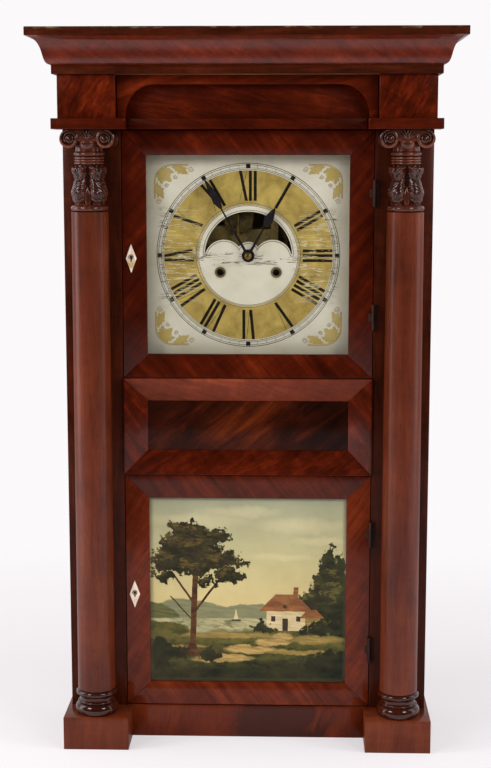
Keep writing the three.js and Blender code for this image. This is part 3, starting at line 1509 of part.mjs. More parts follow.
// Striking work: great wheel, pin wheel that lifts the hammer, and the bell
function strikingWork() {
  piece('strike_great_wheel', brass, greatWheel(strikeGreatAt));
  const [px, pz] = pinWheelAt;
  const pinPhase = pinionPhase(strikeGreatAt, pinWheelAt, greatTeeth, pinWheelPinionLeaves, greatPhase);
  const pins = [];
  const pinCircle = (pinWheelTeeth * pinWheelModule) / 2 - pinInset;
  for (let pin = 0; pin < liftingPins; pin += 1) {
    const angle = (2 * Math.PI * (pin + 0.5)) / liftingPins;
    pins.push(rod(
      px + pinCircle * Math.cos(angle), pz + pinCircle * Math.sin(angle), pinRadius,
      secondWheelY + glueLine, secondWheelY + wheelThickness + pinLength, 4,
    ));
  }
  piece('pin_wheel', brass, joined(
    wheelAt(armedShape(pinWheelTeeth, pinWheelModule, pinPhase, pinRim), px, pz,
      secondWheelY, secondWheelY + wheelThickness),
    ...pins,
    pinionAt(pinWheelAt, pinWheelPinionLeaves, greatModule, pinPhase, greatWheelY,
      2 * wheelThickness),
    arbor(pinWheelAt, arborRadius),
  ));

  const [hx, hz] = hammerAt;
  const tailY = secondWheelY + wheelThickness + tailGap;
  const tailLean = Math.atan2(px - hx, pz - hz);
  const tailReach = Math.hypot(px - hx, pz - hz) - pinCircle - pinRadius - 2 * fitClearance;
  const tail = block(-tailWidth / 2, tailWidth / 2, tailY, tailY + tailWidth, 0, tailReach)
    .rotate([0, THREE.MathUtils.radToDeg(tailLean), 0])
    .translate([hx, 0, hz]);
  const headY = hammerWireY;
  const wire = block(
    hx - hammerWireRadius, hx + hammerWireRadius,
    headY - hammerWireRadius, headY + hammerWireRadius, bellZ, hz,
  );
  const head = turnedUpright([
    [0, bellZ - hammerHeadLength / 2], [hammerHeadRadius, bellZ - hammerHeadLength / 2],
    [hammerHeadRadius, bellZ + hammerHeadLength / 2], [0, bellZ + hammerHeadLength / 2],
  ], hx, headY, 10);
  piece('strike_hammer', steel, joined(arbor(hammerAt, arborRadius), tail, wire, head));
}

function bell() {
  const mouthY = backFrontY - bellStandOff;
  const crownY = mouthY - bellDepth;
  const outline = [];
  const lining = [];
  const steps = 4;
  for (let step = 0; step <= steps; step += 1) {
    const angle = (Math.PI / 2) * (step / steps);
    outline.push([bellRadius * Math.sin(angle), mouthY - bellDepth * Math.cos(angle)]);
    lining.unshift([
      (bellRadius - bellWall) * Math.sin(angle),
      mouthY - (bellDepth - bellWall) * Math.cos(angle),
    ]);
  }
  lining[lining.length - 1] = [0, crownY + bellWall];
  outline[0] = [0, crownY];
  const cup = turnedThrough([...outline, ...lining], bellX, bellZ, 12);
  const post = rod(bellX, bellZ, bellPostRadius, crownY - bellNut, backFrontY - glueLine, 8);
  piece('bell', castIron, joined(cup, post));
}

caseBoards();
stiles();
plinths();
columns();
capitals();
entablature();
cornice();
topBoard();
middlePanel();
doors();
dial();
plates();
goingTrain();
escapeWheel();
verge();
pendulum();
motionWork();
drives();
strikingWork();
bell();

export default clock;
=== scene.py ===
# Column-and-cornice shelf clock: the finish of each piece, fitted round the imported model
import bpy
import bmesh
import json
import math
from mathutils import Matrix, Vector
from mathutils.geometry import interpolate_bezier

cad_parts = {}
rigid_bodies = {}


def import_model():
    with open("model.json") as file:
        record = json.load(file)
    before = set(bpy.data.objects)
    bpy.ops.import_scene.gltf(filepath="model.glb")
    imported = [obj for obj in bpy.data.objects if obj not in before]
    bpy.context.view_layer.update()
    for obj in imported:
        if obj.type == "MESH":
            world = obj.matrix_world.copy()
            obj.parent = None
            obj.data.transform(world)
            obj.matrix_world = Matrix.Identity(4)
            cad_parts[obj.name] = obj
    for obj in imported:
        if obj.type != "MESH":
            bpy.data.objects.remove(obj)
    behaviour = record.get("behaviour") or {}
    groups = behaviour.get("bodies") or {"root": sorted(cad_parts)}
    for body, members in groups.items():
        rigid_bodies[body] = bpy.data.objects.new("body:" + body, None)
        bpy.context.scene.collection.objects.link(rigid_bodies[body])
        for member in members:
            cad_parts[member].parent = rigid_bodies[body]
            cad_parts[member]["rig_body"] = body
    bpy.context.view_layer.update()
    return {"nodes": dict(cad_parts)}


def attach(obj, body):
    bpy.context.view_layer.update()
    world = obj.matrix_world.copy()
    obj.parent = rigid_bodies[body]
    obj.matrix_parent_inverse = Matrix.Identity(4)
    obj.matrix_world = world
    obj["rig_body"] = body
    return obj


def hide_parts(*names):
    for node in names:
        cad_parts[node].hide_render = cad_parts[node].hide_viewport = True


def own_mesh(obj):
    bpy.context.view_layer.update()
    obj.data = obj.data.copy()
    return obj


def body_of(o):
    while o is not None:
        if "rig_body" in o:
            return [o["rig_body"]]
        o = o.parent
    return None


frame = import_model()
scene = bpy.context.scene
scene.view_settings.view_transform = "Standard"
mm = 0.001
caseBody = "case"
print("frame loaded,", len(frame["nodes"]), "nodes")


# Camera, room and lamps

room = {
    "cameraPlace": (0.0519, -1.7483, 0.6858),
    "cameraTurn": (81.5, 0, 1.8),
    "cameraClip": (0.05, 60),
    "focalPixels": 1514.8,
    "longSide": 768,
    "floorTone": (220, 214, 217),
    "skyTone": (252, 249, 251),
    "ambient": 0.5,
    "frontReflection": 0.015,
    "turnToWhite": (-0.15, 0.75),  # from front to back, how polished faces come to see the white room
    "paperHalf": 20,
    "floorFade": (-1.0, -2.0),  # the paper ends in front, where polished faces look
    "sweep": (0.15, 0.9),  # behind the clock the paper turns into the white backdrop
    "edgeSweep": (0.75, 1.5),  # and so it does this far out all round
    "paperLight": 0.5,
    "lampAim": (0, 0, 0.42),
    "softboxes": [  # azimuth, elevation, distance, width, height, watts, seen in polished faces
        (-72, 14, 1.7, 0.4, 1.4, 20, False),
        (72, 14, 1.7, 0.4, 1.4, 17, False),
        (-88, 12, 1.5, 0.6, 1.4, 8, True),
        (88, 12, 1.5, 0.6, 1.4, 4, True),
        (-3, 35, 2.6, 1.0, 0.5, 2, False),
        (-44, 25, 1.9, 0.52, 0.52, 12, True),
        (40, 25, 1.9, 0.52, 0.52, 10, True),
    ],
}


def linear(tone):
    return [(c / 255 / 12.92 if c <= 10 else ((c / 255 + 0.055) / 1.055) ** 2.4) for c in tone] + [1.0]


def addNode(tree, kind, inputs=None, **settings):
    made = tree.nodes.new("ShaderNode" + kind)
    for key, value in settings.items():
        setattr(made, key, value)
    for key, value in (inputs or {}).items():
        if isinstance(value, bpy.types.NodeSocket):
            tree.links.new(value, made.inputs[key])
        else:
            made.inputs[key].default_value = value
    return made


def sums(tree, operation, first, second=0.0, third=0.0):
    return addNode(tree, "Math", {0: first, 1: second, 2: third}, operation=operation).outputs[0]


def times(tree, first, second):
    return sums(tree, "MULTIPLY", first, second)


def minus(tree, first, second):
    return sums(tree, "SUBTRACT", first, second)


def sizeOf(tree, value):
    return sums(tree, "ABSOLUTE", value)


def distance(tree, across, up):
    return sums(tree, "SQRT", sums(tree, "MULTIPLY_ADD", across, across, times(tree, up, up)))


def placeOf(tree):
    # X, Y and Z of the place being shaded, in metres
    return addNode(tree, "SeparateXYZ", {0: addNode(tree, "TexCoord").outputs["Object"]}).outputs


def makeCamera():
    lens = bpy.data.cameras.new("camera")
    lens.sensor_width = 36
    lens.lens = room["focalPixels"] * lens.sensor_width / room["longSide"]
    lens.clip_start, lens.clip_end = room["cameraClip"]
    camera = bpy.data.objects.new("camera", lens)
    camera.location = room["cameraPlace"]
    camera.rotation_euler = [math.radians(a) for a in room["cameraTurn"]]
    scene.collection.objects.link(camera)
    scene.camera = camera


def makeWorld():
    world = bpy.data.worlds.new("studio")
    scene.world = world
    world.use_nodes = True
    world.cycles.sampling_method = "NONE"  # even light all round needs no map of its own
    tree = world.node_tree
    tree.nodes.clear()
    rays = addNode(tree, "LightPath")
    ambient = addNode(tree, "Background", {"Color": (1, 1, 1, 1), "Strength": room["ambient"]})
    white = addNode(tree, "Background", {"Color": linear(room["skyTone"]), "Strength": 1.0})
    direction = addNode(tree, "SeparateXYZ", {0: addNode(tree, "TexCoord").outputs["Generated"]})
    near, far = room["turnToWhite"]
    behind = addNode(tree, "MapRange", {
        "Value": direction.outputs["Y"], "From Min": near, "From Max": far,
        "To Min": room["frontReflection"], "To Max": 1.0})
    mirrored = addNode(tree, "Background", {"Color": (1, 1, 1, 1), "Strength": behind.outputs[0]})
    seen = sums(tree, "MAXIMUM", rays.outputs["Is Camera Ray"], rays.outputs["Is Transmission Ray"])
    glossy = addNode(tree, "MixShader", {
        0: rays.outputs["Is Glossy Ray"], 1: ambient.outputs[0], 2: mirrored.outputs[0]})
    every = addNode(tree, "MixShader", {0: seen, 1: glossy.outputs[0], 2: white.outputs[0]})
    tree.links.new(every.outputs[0], addNode(tree, "OutputWorld").inputs[0])


def makePaper():
    # White paper that keeps the shadow near the clock and turns into the backdrop further out
    paper = bpy.data.materials.new("floor_paper")
    paper.use_nodes = True
    paper.cycles.emission_sampling = "NONE"
    tree = paper.node_tree
    tree.nodes.clear()
    rays = addNode(tree, "LightPath")
    place = placeOf(tree)

    def whitening(value, limits):
        return addNode(tree, "MapRange", {
            "Value": value, "From Min": limits[0], "From Max": limits[1],
            "To Min": room["paperLight"], "To Max": 1.0}, interpolation_type="SMOOTHSTEP").outputs[0]

    matt = addNode(tree, "BsdfDiffuse", {"Color": linear(room["floorTone"])})
    lit = addNode(tree, "Emission", {"Color": linear(room["skyTone"]), "Strength": 1.0})
    white = sums(tree, "MAXIMUM", whitening(place["Y"], room["sweep"]),
                 whitening(distance(tree, place["X"], place["Y"]), room["edgeSweep"]))
    share = times(tree, rays.outputs["Is Camera Ray"], white)
    both = addNode(tree, "MixShader", {0: share, 1: matt.outputs[0], 2: lit.outputs[0]})
    near, far = room["floorFade"]
    gone = addNode(tree, "MapRange", {"Value": place["Y"], "From Min": near, "From Max": far})
    unlit = addNode(tree, "Emission", {"Color": (1, 1, 1, 1), "Strength": room["frontReflection"]})
    hidden = times(tree, rays.outputs["Is Glossy Ray"], gone.outputs[0])
    paperEnd = addNode(tree, "MixShader", {0: hidden, 1: both.outputs[0], 2: unlit.outputs[0]})
    tree.links.new(paperEnd.outputs[0], addNode(tree, "OutputMaterial").inputs[0])
    return paper


def makeFloor():
    bm = bmesh.new()
    bmesh.ops.create_grid(bm, x_segments=1, y_segments=1, size=room["paperHalf"])
    mesh = bpy.data.meshes.new("floor")
    bm.to_mesh(mesh)
    bm.free()
    mesh.materials.append(makePaper())
    floor = bpy.data.objects.new("floor", mesh)
    scene.collection.objects.link(floor)


def makeLamps():
    for number, (azimuth, elevation, reach, width, height, watts, seen) in enumerate(room["softboxes"]):
        lamp = bpy.data.lights.new("softbox_%d" % number, "AREA")
        lamp.shape = "RECTANGLE"
        lamp.size, lamp.size_y, lamp.energy = width, height, watts
        turn, rise = math.radians(azimuth), math.radians(elevation)
        way = Vector((math.sin(turn) * math.cos(rise), -math.cos(turn) * math.cos(rise), math.sin(rise)))
        holder = bpy.data.objects.new(lamp.name, lamp)
        holder.location = Vector(room["lampAim"]) + way * reach
        holder.rotation_euler = (-way).to_track_quat("-Z", "Y").to_euler()
        holder.visible_glossy = seen
        scene.collection.objects.link(holder)


makeCamera()
makeWorld()
makeFloor()
makeLamps()
print("camera and room ready")


# Finishes

def newFinish(name):
    material = bpy.data.materials.new(name)
    material.use_nodes = True
    tree = material.node_tree
    return material, tree, tree.nodes["Principled BSDF"]


def lay(tree, turn=(0, 0, 0), stretch=(1, 1, 1), offset=(0, 0, 0)):
    # Object coordinates turned so that X runs with the grain, each axis stretched by its factor
    place = addNode(tree, "TexCoord").outputs["Object"]
    mapping = addNode(tree, "Mapping", {
        "Vector": place, "Location": offset,
        "Rotation": [math.radians(a) for a in turn], "Scale": stretch}, vector_type="TEXTURE")
    return mapping.outputs[0]


def cloud(tree, vector, scale, detail=4.0, roughness=0.55, distortion=0.0):
    return addNode(tree, "TexNoise", {
        "Vector": vector, "Scale": scale, "Detail": detail,
        "Roughness": roughness, "Distortion": distortion}).outputs["Fac"]


def ramp(tree, value, stops):
    made = addNode(tree, "ValToRGB", {0: value})
    band = made.color_ramp
    while len(band.elements) < len(stops):
        band.elements.new(0.5)
    for element, (place, tone) in zip(band.elements, stops):
        element.position = place
        element.color = linear(tone)
    return made.outputs[0]


def level(tree, value, low, high, toLow=0.0, toHigh=1.0):
    return addNode(tree, "MapRange", {
        "Value": value, "From Min": low, "From Max": high,
        "To Min": toLow, "To Max": toHigh}).outputs[0]


def blendTones(tree, share, first, second):
    # second is another colour or the red, green and blue of one
    if isinstance(second, tuple):
        second = linear(second)
    return addNode(tree, "Mix", {0: share, 6: first, 7: second}, data_type="RGBA").outputs[2]


def bumpOf(tree, height, depth, strength=1.0, before=None):
    inputs = {"Height": height, "Distance": depth, "Strength": strength}
    if before is not None:
        inputs["Normal"] = before
    return addNode(tree, "Bump", inputs).outputs[0]


def polish(shader, roughness, coat, coatRoughness, specular):
    shader.inputs["Specular IOR Level"].default_value = specular
    shader.inputs["Coat Weight"].default_value = coat
    shader.inputs["Coat Roughness"].default_value = coatRoughness
    shader.inputs["Roughness"].default_value = roughness


redTones = [(0.20, (34, 6, 1)), (0.38, (50, 10, 1)), (0.52, (65, 15, 2)), (0.68, (88, 25, 4)),
            (0.88, (120, 44, 12))]
midTones = [(0.20, (52, 13, 4)), (0.38, (72, 22, 7)), (0.52, (89, 31, 11)), (0.68, (108, 42, 17)),
            (0.88, (138, 62, 30))]
darkTones = [(0.22, (26, 8, 2)), (0.42, (42, 13, 4)), (0.60, (59, 20, 7)), (0.85, (88, 37, 16))]
warmTones = [(0.20, (52, 15, 7)), (0.38, (68, 25, 11)), (0.52, (83, 33, 15)), (0.68, (98, 43, 22)),
             (0.88, (124, 61, 36))]
flameTones = [(0.26, (18, 4, 1)), (0.44, (32, 8, 2)), (0.58, (47, 13, 3)), (0.74, (70, 23, 5)), (0.9, (96, 38, 12))]
woodBase = {
    "turn": (0, 0, 0), "tones": redTones, "stretch": 9, "figureScale": 110, "figure": 0.62,
    "blotchScale": 22, "blotch": 0.42, "fibre": 0.3, "rippleScale": 60, "ripple": 0.2, "shift": 0.0,
    "seed": 0, "roughness": 0.36, "coat": 0.34, "coatRoughness": 0.12, "swirl": 0.7, "specular": 0.03,
    "darkPatch": None,  # middle and half width, in metres along X, of a dark cloud in the figure
    "wornAbove": None,  # height in metres above which the polish is chipped
}
woodDetail = {  # what all the veneers share; depths and heights in metres
    "blotchStretch": 1.8, "rippleStretch": (0.5, 4, 4), "fibreStretch": 26, "fibreScale": 900, "fibreDepth": 0.00006,
    "poreStretch": 16, "poreScale": 1500, "poreShare": 0.55, "poreTone": (18, 6, 4),
    "waveStretch": 3, "waveScale": 28, "waveDepth": 0.0006, "waveStrength": 0.14,
    "roughSpread": (-0.06, 0.08),
    "patchTurn": (0, -60, 0), "patchStretch": 1.6, "patchScale": 42, "patchRagged": 0.09, "patchShare": 0.8,
    "patchEdge": (0.006, -0.016), "patchTone": (44, 20, 14),
    "wornHeight": 0.0035, "wornShare": 0.55, "wornTone": (34, 26, 16),
    "chipStretch": 4, "chipScale": 240, "chipTone": (112, 100, 66),
}


def darkCloud(tree, tone, patch, far):
    # A dark cloud with ragged edges in the figure
    d = woodDetail
    middle, half = patch
    ragged = cloud(tree, lay(tree, d["patchTurn"], (d["patchStretch"], 1, 1), far), d["patchScale"], 5, 0.6, 1.2)
    away = sizeOf(tree, minus(tree, placeOf(tree)["X"], middle))
    away = sums(tree, "MULTIPLY_ADD", minus(tree, ragged, 0.5), d["patchRagged"], away)
    outside, inside = d["patchEdge"]
    share = level(tree, away, half + outside, half + inside, 0, d["patchShare"])
    return blendTones(tree, share, tone, d["patchTone"])


def wornEdge(tree, tone, bottom, turn, far):
    # Dull and chipped polish above the height bottom
    d = woodDetail
    high = level(tree, placeOf(tree)["Z"], bottom, bottom + d["wornHeight"])
    chips = cloud(tree, lay(tree, turn, (d["chipStretch"], 1, 1), far), d["chipScale"], 5, 0.65)
    tone = blendTones(tree, times(tree, high, d["wornShare"]), tone, d["wornTone"])
    return blendTones(tree, times(tree, high, level(tree, chips, 0.54, 0.66)), tone, d["chipTone"])


def veneer(name, **changes):
    # Polished mahogany: broad figure, cross ripple, fine fibre and dark pores along the grain
    look, d = {**woodBase, **changes}, woodDetail
    material, tree, shader = newFinish(name)
    turn, seed = look["turn"], look["seed"]
    far = (0.37 * seed, 0.21 * seed, 0.53 * seed)  # each veneer is cut from another place of the pattern
    broad = cloud(tree, lay(tree, turn, (look["stretch"], 1, 1), far), look["figureScale"], 5, 0.6, look["swirl"])
    blotch = cloud(tree, lay(tree, turn, (d["blotchStretch"], 1, 1), far), look["blotchScale"], 3, 0.5, 0.4)
    fibre = cloud(tree, lay(tree, turn, (d["fibreStretch"], 1, 1), far), d["fibreScale"], 3, 0.7)
    ripple = cloud(tree, lay(tree, turn, d["rippleStretch"], far), look["rippleScale"], 2, 0.5, 0.6)
    total = 0.5 + look["shift"]
    for part, share in ((broad, "figure"), (blotch, "blotch"), (fibre, "fibre"), (ripple, "ripple")):
        total = sums(tree, "MULTIPLY_ADD", minus(tree, part, 0.5), look[share], total)
    tone = ramp(tree, total, look["tones"])
    if look["darkPatch"]:
        tone = darkCloud(tree, tone, look["darkPatch"], far)
    pores = cloud(tree, lay(tree, turn, (d["poreStretch"], 1, 1), far), d["poreScale"], 2, 0.6)
    pores = level(tree, pores, 0.60, 0.70)
    tone = blendTones(tree, times(tree, pores, d["poreShare"]), tone, d["poreTone"])
    if look["wornAbove"]:
        tone = wornEdge(tree, tone, look["wornAbove"], turn, far)
    tree.links.new(tone, shader.inputs["Base Color"])
    polish(shader, look["roughness"], look["coat"], look["coatRoughness"], look["specular"])
    smooth, dull = [look["roughness"] + change for change in d["roughSpread"]]
    tree.links.new(level(tree, blotch, 0.3, 0.7, smooth, dull), shader.inputs["Roughness"])
    wave = cloud(tree, lay(tree, turn, (d["waveStretch"], 1, 1), far), d["waveScale"], 2, 0.5)
    relief = bumpOf(tree, wave, d["waveDepth"], d["waveStrength"])
    relief = bumpOf(tree, minus(tree, fibre, pores), d["fibreDepth"], 0.5, relief)
    tree.links.new(relief, shader.inputs["Normal"])
    return material


carving = {  # metres; hatchPitch and hatchFall also cut the leaves' own form; the hatch tone is painted shade in the grooves, the head tone painted shade between the scrolls
    "middleX": 0.1774, "leafLow": 0.636, "leafHigh": 0.677, "leafFade": 0.004,
    "hatchPitch": 0.0031, "hatchFall": 0.8, "hatchShadeShare": 0.35, "hatchShadeTone": (16, 6, 4),
    "headLow": 0.698, "headHigh": 0.710, "headShadeShare": 0.68, "headShadeTone": (14, 7, 5),
    "tones": [(0.1, (9, 3, 2)), (0.36, (32, 12, 7)), (0.56, (58, 24, 15)), (0.84, (108, 54, 34))],
}


def carvedFinish():
    c = carving
    material, tree, shader = newFinish("carved_mahogany")
    # painted shade and highlight: the tone follows pointiness, darker in the hollows and lighter on raised edges
    raised = level(tree, addNode(tree, "NewGeometry").outputs["Pointiness"], 0.40, 0.62)
    upright = (0, -90, 0)
    grain = cloud(tree, lay(tree, upright, (8, 1, 1)), 120, 4, 0.6, 0.5)
    tone = ramp(tree, sums(tree, "MULTIPLY_ADD", minus(tree, grain, 0.5), 0.7, raised), c["tones"])
    # the carver's hatching on the leaves, falling outwards from each capital's middle, with painted shade darkening
    # its grooves
    pitch, place = c["hatchPitch"], placeOf(tree)
    aside = sizeOf(tree, minus(tree, sizeOf(tree, place["X"]), c["middleX"]))
    lines = sums(tree, "MULTIPLY_ADD", aside, c["hatchFall"] / pitch, times(tree, place["Z"], 1 / pitch))
    lines = sums(tree, "PINGPONG", lines, 0.5)
    leafy = times(tree, level(tree, place["Z"], c["leafLow"], c["leafLow"] + c["leafFade"]),
                  level(tree, place["Z"], c["leafHigh"], c["leafHigh"] - c["leafFade"]))
    grooveShade = times(tree, level(tree, lines, 0.22, 0.1, 0, c["hatchShadeShare"]), leafy)
    tone = blendTones(tree, grooveShade, tone, c["hatchShadeTone"])
    # painted shade: darker above headLow, over the head between the scrolls
    head = level(tree, place["Z"], c["headLow"], c["headHigh"], 0, c["headShadeShare"])
    tone = blendTones(tree, head, tone, c["headShadeTone"])
    tree.links.new(tone, shader.inputs["Base Color"])
    polish(shader, 0.34, 0.75, 0.13, 0.05)
    fine = cloud(tree, lay(tree, upright, (6, 1, 1)), 700, 3, 0.6)
    tree.links.new(bumpOf(tree, fine, 0.00008, 0.5), shader.inputs["Normal"])
    return material


def pineFinish(name, turn):
    material, tree, shader = newFinish(name)
    rings = addNode(tree, "TexWave", {
        "Vector": lay(tree, turn, (9, 1, 1)), "Scale": 15, "Distortion": 9, "Detail": 4,
        "Detail Scale": 2.2, "Detail Roughness": 0.6}, bands_direction="Z").outputs["Fac"]
    age = cloud(tree, lay(tree), 9, 5, 0.6)
    fibre = cloud(tree, lay(tree, turn, (30, 1, 1)), 800, 3, 0.6)
    total = sums(tree, "MULTIPLY_ADD", age, 0.55, times(tree, fibre, 0.3))
    total = sums(tree, "MULTIPLY_ADD", rings, 0.2, total)
    tone = ramp(tree, total, [(0.25, (74, 44, 23)), (0.5, (120, 78, 42)), (0.75, (160, 112, 66)),
                              (0.95, (182, 138, 88))])
    tree.links.new(tone, shader.inputs["Base Color"])
    polish(shader, 0.75, 0.0, 0.3, 0.3)
    tree.links.new(bumpOf(tree, sums(tree, "ADD", rings, fibre), 0.0002, 0.4), shader.inputs["Normal"])
    return material


def metalFinish(name, bright, tarnish, amount, roughness, metallic=1.0, brushed=(1, 1, 1)):
    # amount is the share of tarnish; brushed stretches the fine lines
    material, tree, shader = newFinish(name)
    age = cloud(tree, lay(tree), 60, 6, 0.65, 0.4)
    spots = cloud(tree, lay(tree), 420, 4, 0.6)
    worn = level(tree, sums(tree, "MULTIPLY_ADD", spots, 0.35, age), 0.75 - amount, 1.0 - amount * 0.5)
    tree.links.new(blendTones(tree, worn, linear(bright), tarnish), shader.inputs["Base Color"])
    tree.links.new(level(tree, worn, 0, 1, roughness, roughness + 0.25), shader.inputs["Roughness"])
    shader.inputs["Metallic"].default_value = metallic
    lines = cloud(tree, lay(tree, (0, 0, 0), brushed), 1200, 3, 0.6)
    tree.links.new(bumpOf(tree, sums(tree, "ADD", lines, spots), 0.00003, 0.6), shader.inputs["Normal"])
    return material


def ironFinish():
    material, tree, shader = newFinish("cast_iron")
    sand = cloud(tree, lay(tree), 900, 4, 0.65)
    rust = cloud(tree, lay(tree), 30, 6, 0.65, 0.5)
    tone = ramp(tree, sums(tree, "MULTIPLY_ADD", sand, 0.3, times(tree, rust, 0.8)),
                [(0.35, (24, 23, 24)), (0.55, (44, 42, 42)), (0.72, (70, 50, 38)), (0.9, (96, 62, 40))])
    tree.links.new(tone, shader.inputs["Base Color"])
    shader.inputs["Metallic"].default_value = 0.35
    polish(shader, 0.62, 0.0, 0.3, 0.4)
    tree.links.new(bumpOf(tree, sand, 0.0003, 0.6), shader.inputs["Normal"])
    return material


boneStain = {  # the yellowed lower half of the upper keyhole plate, heights in metres
    "low": (0.559, 0.5625), "high": (0.5705, 0.567), "ragged": 0.006, "share": 0.8, "tone": (176, 144, 70),
}


def boneFinish():
    material, tree, shader = newFinish("bone")
    age = cloud(tree, lay(tree), 90, 5, 0.6)
    lines = level(tree, cloud(tree, lay(tree, (0, 38, 0), (30, 1, 1)), 700, 2, 0.5), 0.60, 0.66)
    tone = ramp(tree, age, [(0.3, (196, 172, 150)), (0.5, (230, 210, 190)), (0.7, (246, 232, 216))])
    tone = blendTones(tree, times(tree, lines, 0.5), tone, (120, 84, 62))
    height = sums(tree, "MULTIPLY_ADD", minus(tree, age, 0.5), boneStain["ragged"], placeOf(tree)["Z"])
    yellowed = times(tree, level(tree, height, *boneStain["low"]), level(tree, height, *boneStain["high"]))
    tone = blendTones(tree, times(tree, yellowed, boneStain["share"]), tone, boneStain["tone"])
    tree.links.new(tone, shader.inputs["Base Color"])
    polish(shader, 0.42, 0.2, 0.2, 0.4)
    shader.inputs["Subsurface Weight"].default_value = 0.08
    shader.inputs["Subsurface Radius"].default_value = (0.002, 0.0012, 0.0008)
    return material


def glassFinish():
    material, tree, shader = newFinish("clear_glass")
    shader.inputs["Base Color"].default_value = linear((10, 13, 12))
    shader.inputs["Alpha"].default_value = 0.09
    shader.inputs["Specular IOR Level"].default_value = 0.5
    old = cloud(tree, lay(tree, (0, 0, 0), (1, 1, 3)), 14, 2, 0.4)
    tree.links.new(level(tree, old, 0.3, 0.7, 0.02, 0.06), shader.inputs["Roughness"])
    tree.links.new(bumpOf(tree, old, 0.0008, 0.12), shader.inputs["Normal"])
    return material


def cordFinish():
    material, tree, shader = newFinish("cord")
    dirt = cloud(tree, lay(tree), 120, 5, 0.6)
    hair = cloud(tree, lay(tree, (0, 0, 0), (1, 1, 5)), 2600, 2, 0.6)
    tone = ramp(tree, sums(tree, "MULTIPLY_ADD", hair, 0.3, times(tree, dirt, 0.7)),
                [(0.3, (84, 66, 42)), (0.52, (136, 112, 74)), (0.75, (176, 152, 108))])
    tree.links.new(tone, shader.inputs["Base Color"])
    polish(shader, 0.85, 0.0, 0.3, 0.2)
    shader.inputs["Sheen Weight"].default_value = 0.3
    tree.links.new(bumpOf(tree, hair, 0.00015, 0.6), shader.inputs["Normal"])
    return material


finishes = {
    "caseWood": veneer("case_mahogany", turn=(0, -90, 0), tones=darkTones, seed=1, coat=0.1, shift=0.03),
    "footWood": veneer("column_foot_mahogany", turn=(0, -90, 0), tones=darkTones, seed=21, figure=0.5, fibre=0.2,
                       ripple=0.1, coat=0.9, coatRoughness=0.09, shift=-0.03),
    "plinthWood": veneer("plinth_mahogany", turn=(0, -90, 0), tones=warmTones, seed=2, figureScale=70, figure=0.5,
                         fibre=0.2, ripple=0.2, shift=0.09),
    "railWood": veneer("base_rail_mahogany", turn=(0, -80, 0), tones=midTones, seed=3, stretch=2.2, figureScale=30,
                       figure=0.35, swirl=1.7, blotchScale=11, blotch=0.5, ripple=0.05, darkPatch=(0.037, 0.058)),
    "columnWood": veneer("column_mahogany", turn=(0, -90, 0), tones=warmTones, seed=4, stretch=14, figure=0.5,
                         blotch=0.5, fibre=0.2, ripple=0.1, coatRoughness=0.27, coat=0.5),
    "blockWood": veneer("frieze_block_mahogany", turn=(0, -62, 0), seed=5, stretch=3, figureScale=150, ripple=0.3,
                        figure=0.9, shift=0.02),
    "archWood": veneer("arch_mahogany", turn=(0, -16, 0), seed=6, stretch=7, figureScale=44, figure=0.8, ripple=0.1,
                       swirl=1.2, shift=0.1),
    "recessWood": veneer("recess_mahogany", turn=(0, 12, 0), seed=7, ripple=0.08, blotch=0.7, stretch=6, figure=0.7,
                         swirl=1.2, shift=-0.05),
    "ledgeWood": veneer("ledge_mahogany", seed=8, figure=0.5, shift=-0.05),
    "fasciaWood": veneer("fascia_mahogany", tones=darkTones, seed=9, blotch=0.6, shift=0.02, coat=0.12,
                         wornAbove=0.8225),
    "cymaWood": veneer("cyma_mahogany", turn=(0, 38, 0), seed=10, stretch=12, figure=0.55, shift=0.11, coat=0.8,
                       coatRoughness=0.16),
    "cymaSide": veneer("cyma_side_mahogany", turn=(38, 0, 90), seed=11, stretch=12, figure=0.8, shift=0.11),
    "risingWood": veneer("rising_grain_mahogany", turn=(0, -50, 0), seed=12, blotch=0.55, shift=-0.02),
    "fallingWood": veneer("falling_grain_mahogany", turn=(0, 50, 0), seed=13, blotch=0.6),
    "lowRising": veneer("lower_rising_mahogany", turn=(0, -56, 0), tones=midTones, seed=14),
    "lowFalling": veneer("lower_falling_mahogany", turn=(0, 52, 0), tones=midTones, seed=15, stretch=11,
                         figureScale=75, figure=0.95),
    "lowTop": veneer("lower_top_mahogany", turn=(0, 52, 0), tones=midTones, seed=20, stretch=11, figureScale=75,
                     figure=0.8, shift=-0.17),
    # the middle frame's top member: its own grain, and lighter tones than the other members, a painted sheen
    "splayTopSheen": veneer("splay_top_mahogany_painted_sheen", turn=(0, 20, 0), tones=midTones, seed=16, shift=0.12, roughness=0.42,
                       coatRoughness=0.28),
    "splaySide": veneer("splay_side_mahogany", turn=(0, 52, 0), seed=17, figure=0.8, shift=0.01, stretch=11),
    "splayBottom": veneer("splay_bottom_mahogany", turn=(0, -35, 0), seed=18, figure=0.8, shift=0.04, stretch=10),
    "flameWood": veneer("flame_mahogany", turn=(0, -40, 0), tones=flameTones, seed=19, stretch=5, figureScale=36,
                        figure=0.9, blotchScale=12, blotch=0.9, swirl=1.8, ripple=0.1, shift=-0.02, coat=0.12),
    "carved": carvedFinish(),
    "pineUpright": pineFinish("pine_upright", (0, -90, 0)),
    "pineLevel": pineFinish("pine_level", (0, 0, 0)),
    "brass": metalFinish("brass", (170, 140, 74), (84, 68, 34), 0.35, 0.3),
    "plateBrass": metalFinish("plate_brass", (176, 154, 88), (104, 88, 46), 0.45, 0.38, metallic=0.45,
                              brushed=(20, 1, 1)),
    "hingeBrass": metalFinish("hinge_brass", (74, 36, 20), (46, 20, 12), 0.6, 0.45, metallic=0.3),
    "steel": metalFinish("steel", (150, 148, 146), (84, 74, 64), 0.3, 0.34),
    "bluedSteel": metalFinish("blued_steel", (62, 54, 58), (38, 30, 30), 0.3, 0.36, metallic=0.75),
    "iron": ironFinish(),
    "bone": boneFinish(),
    "glass": glassFinish(),
    "cord": cordFinish(),
}
print("finishes ready")


# Building helpers, sizes in millimetres

joinOverlap = 0.1  # how far one part of a piece runs into the next


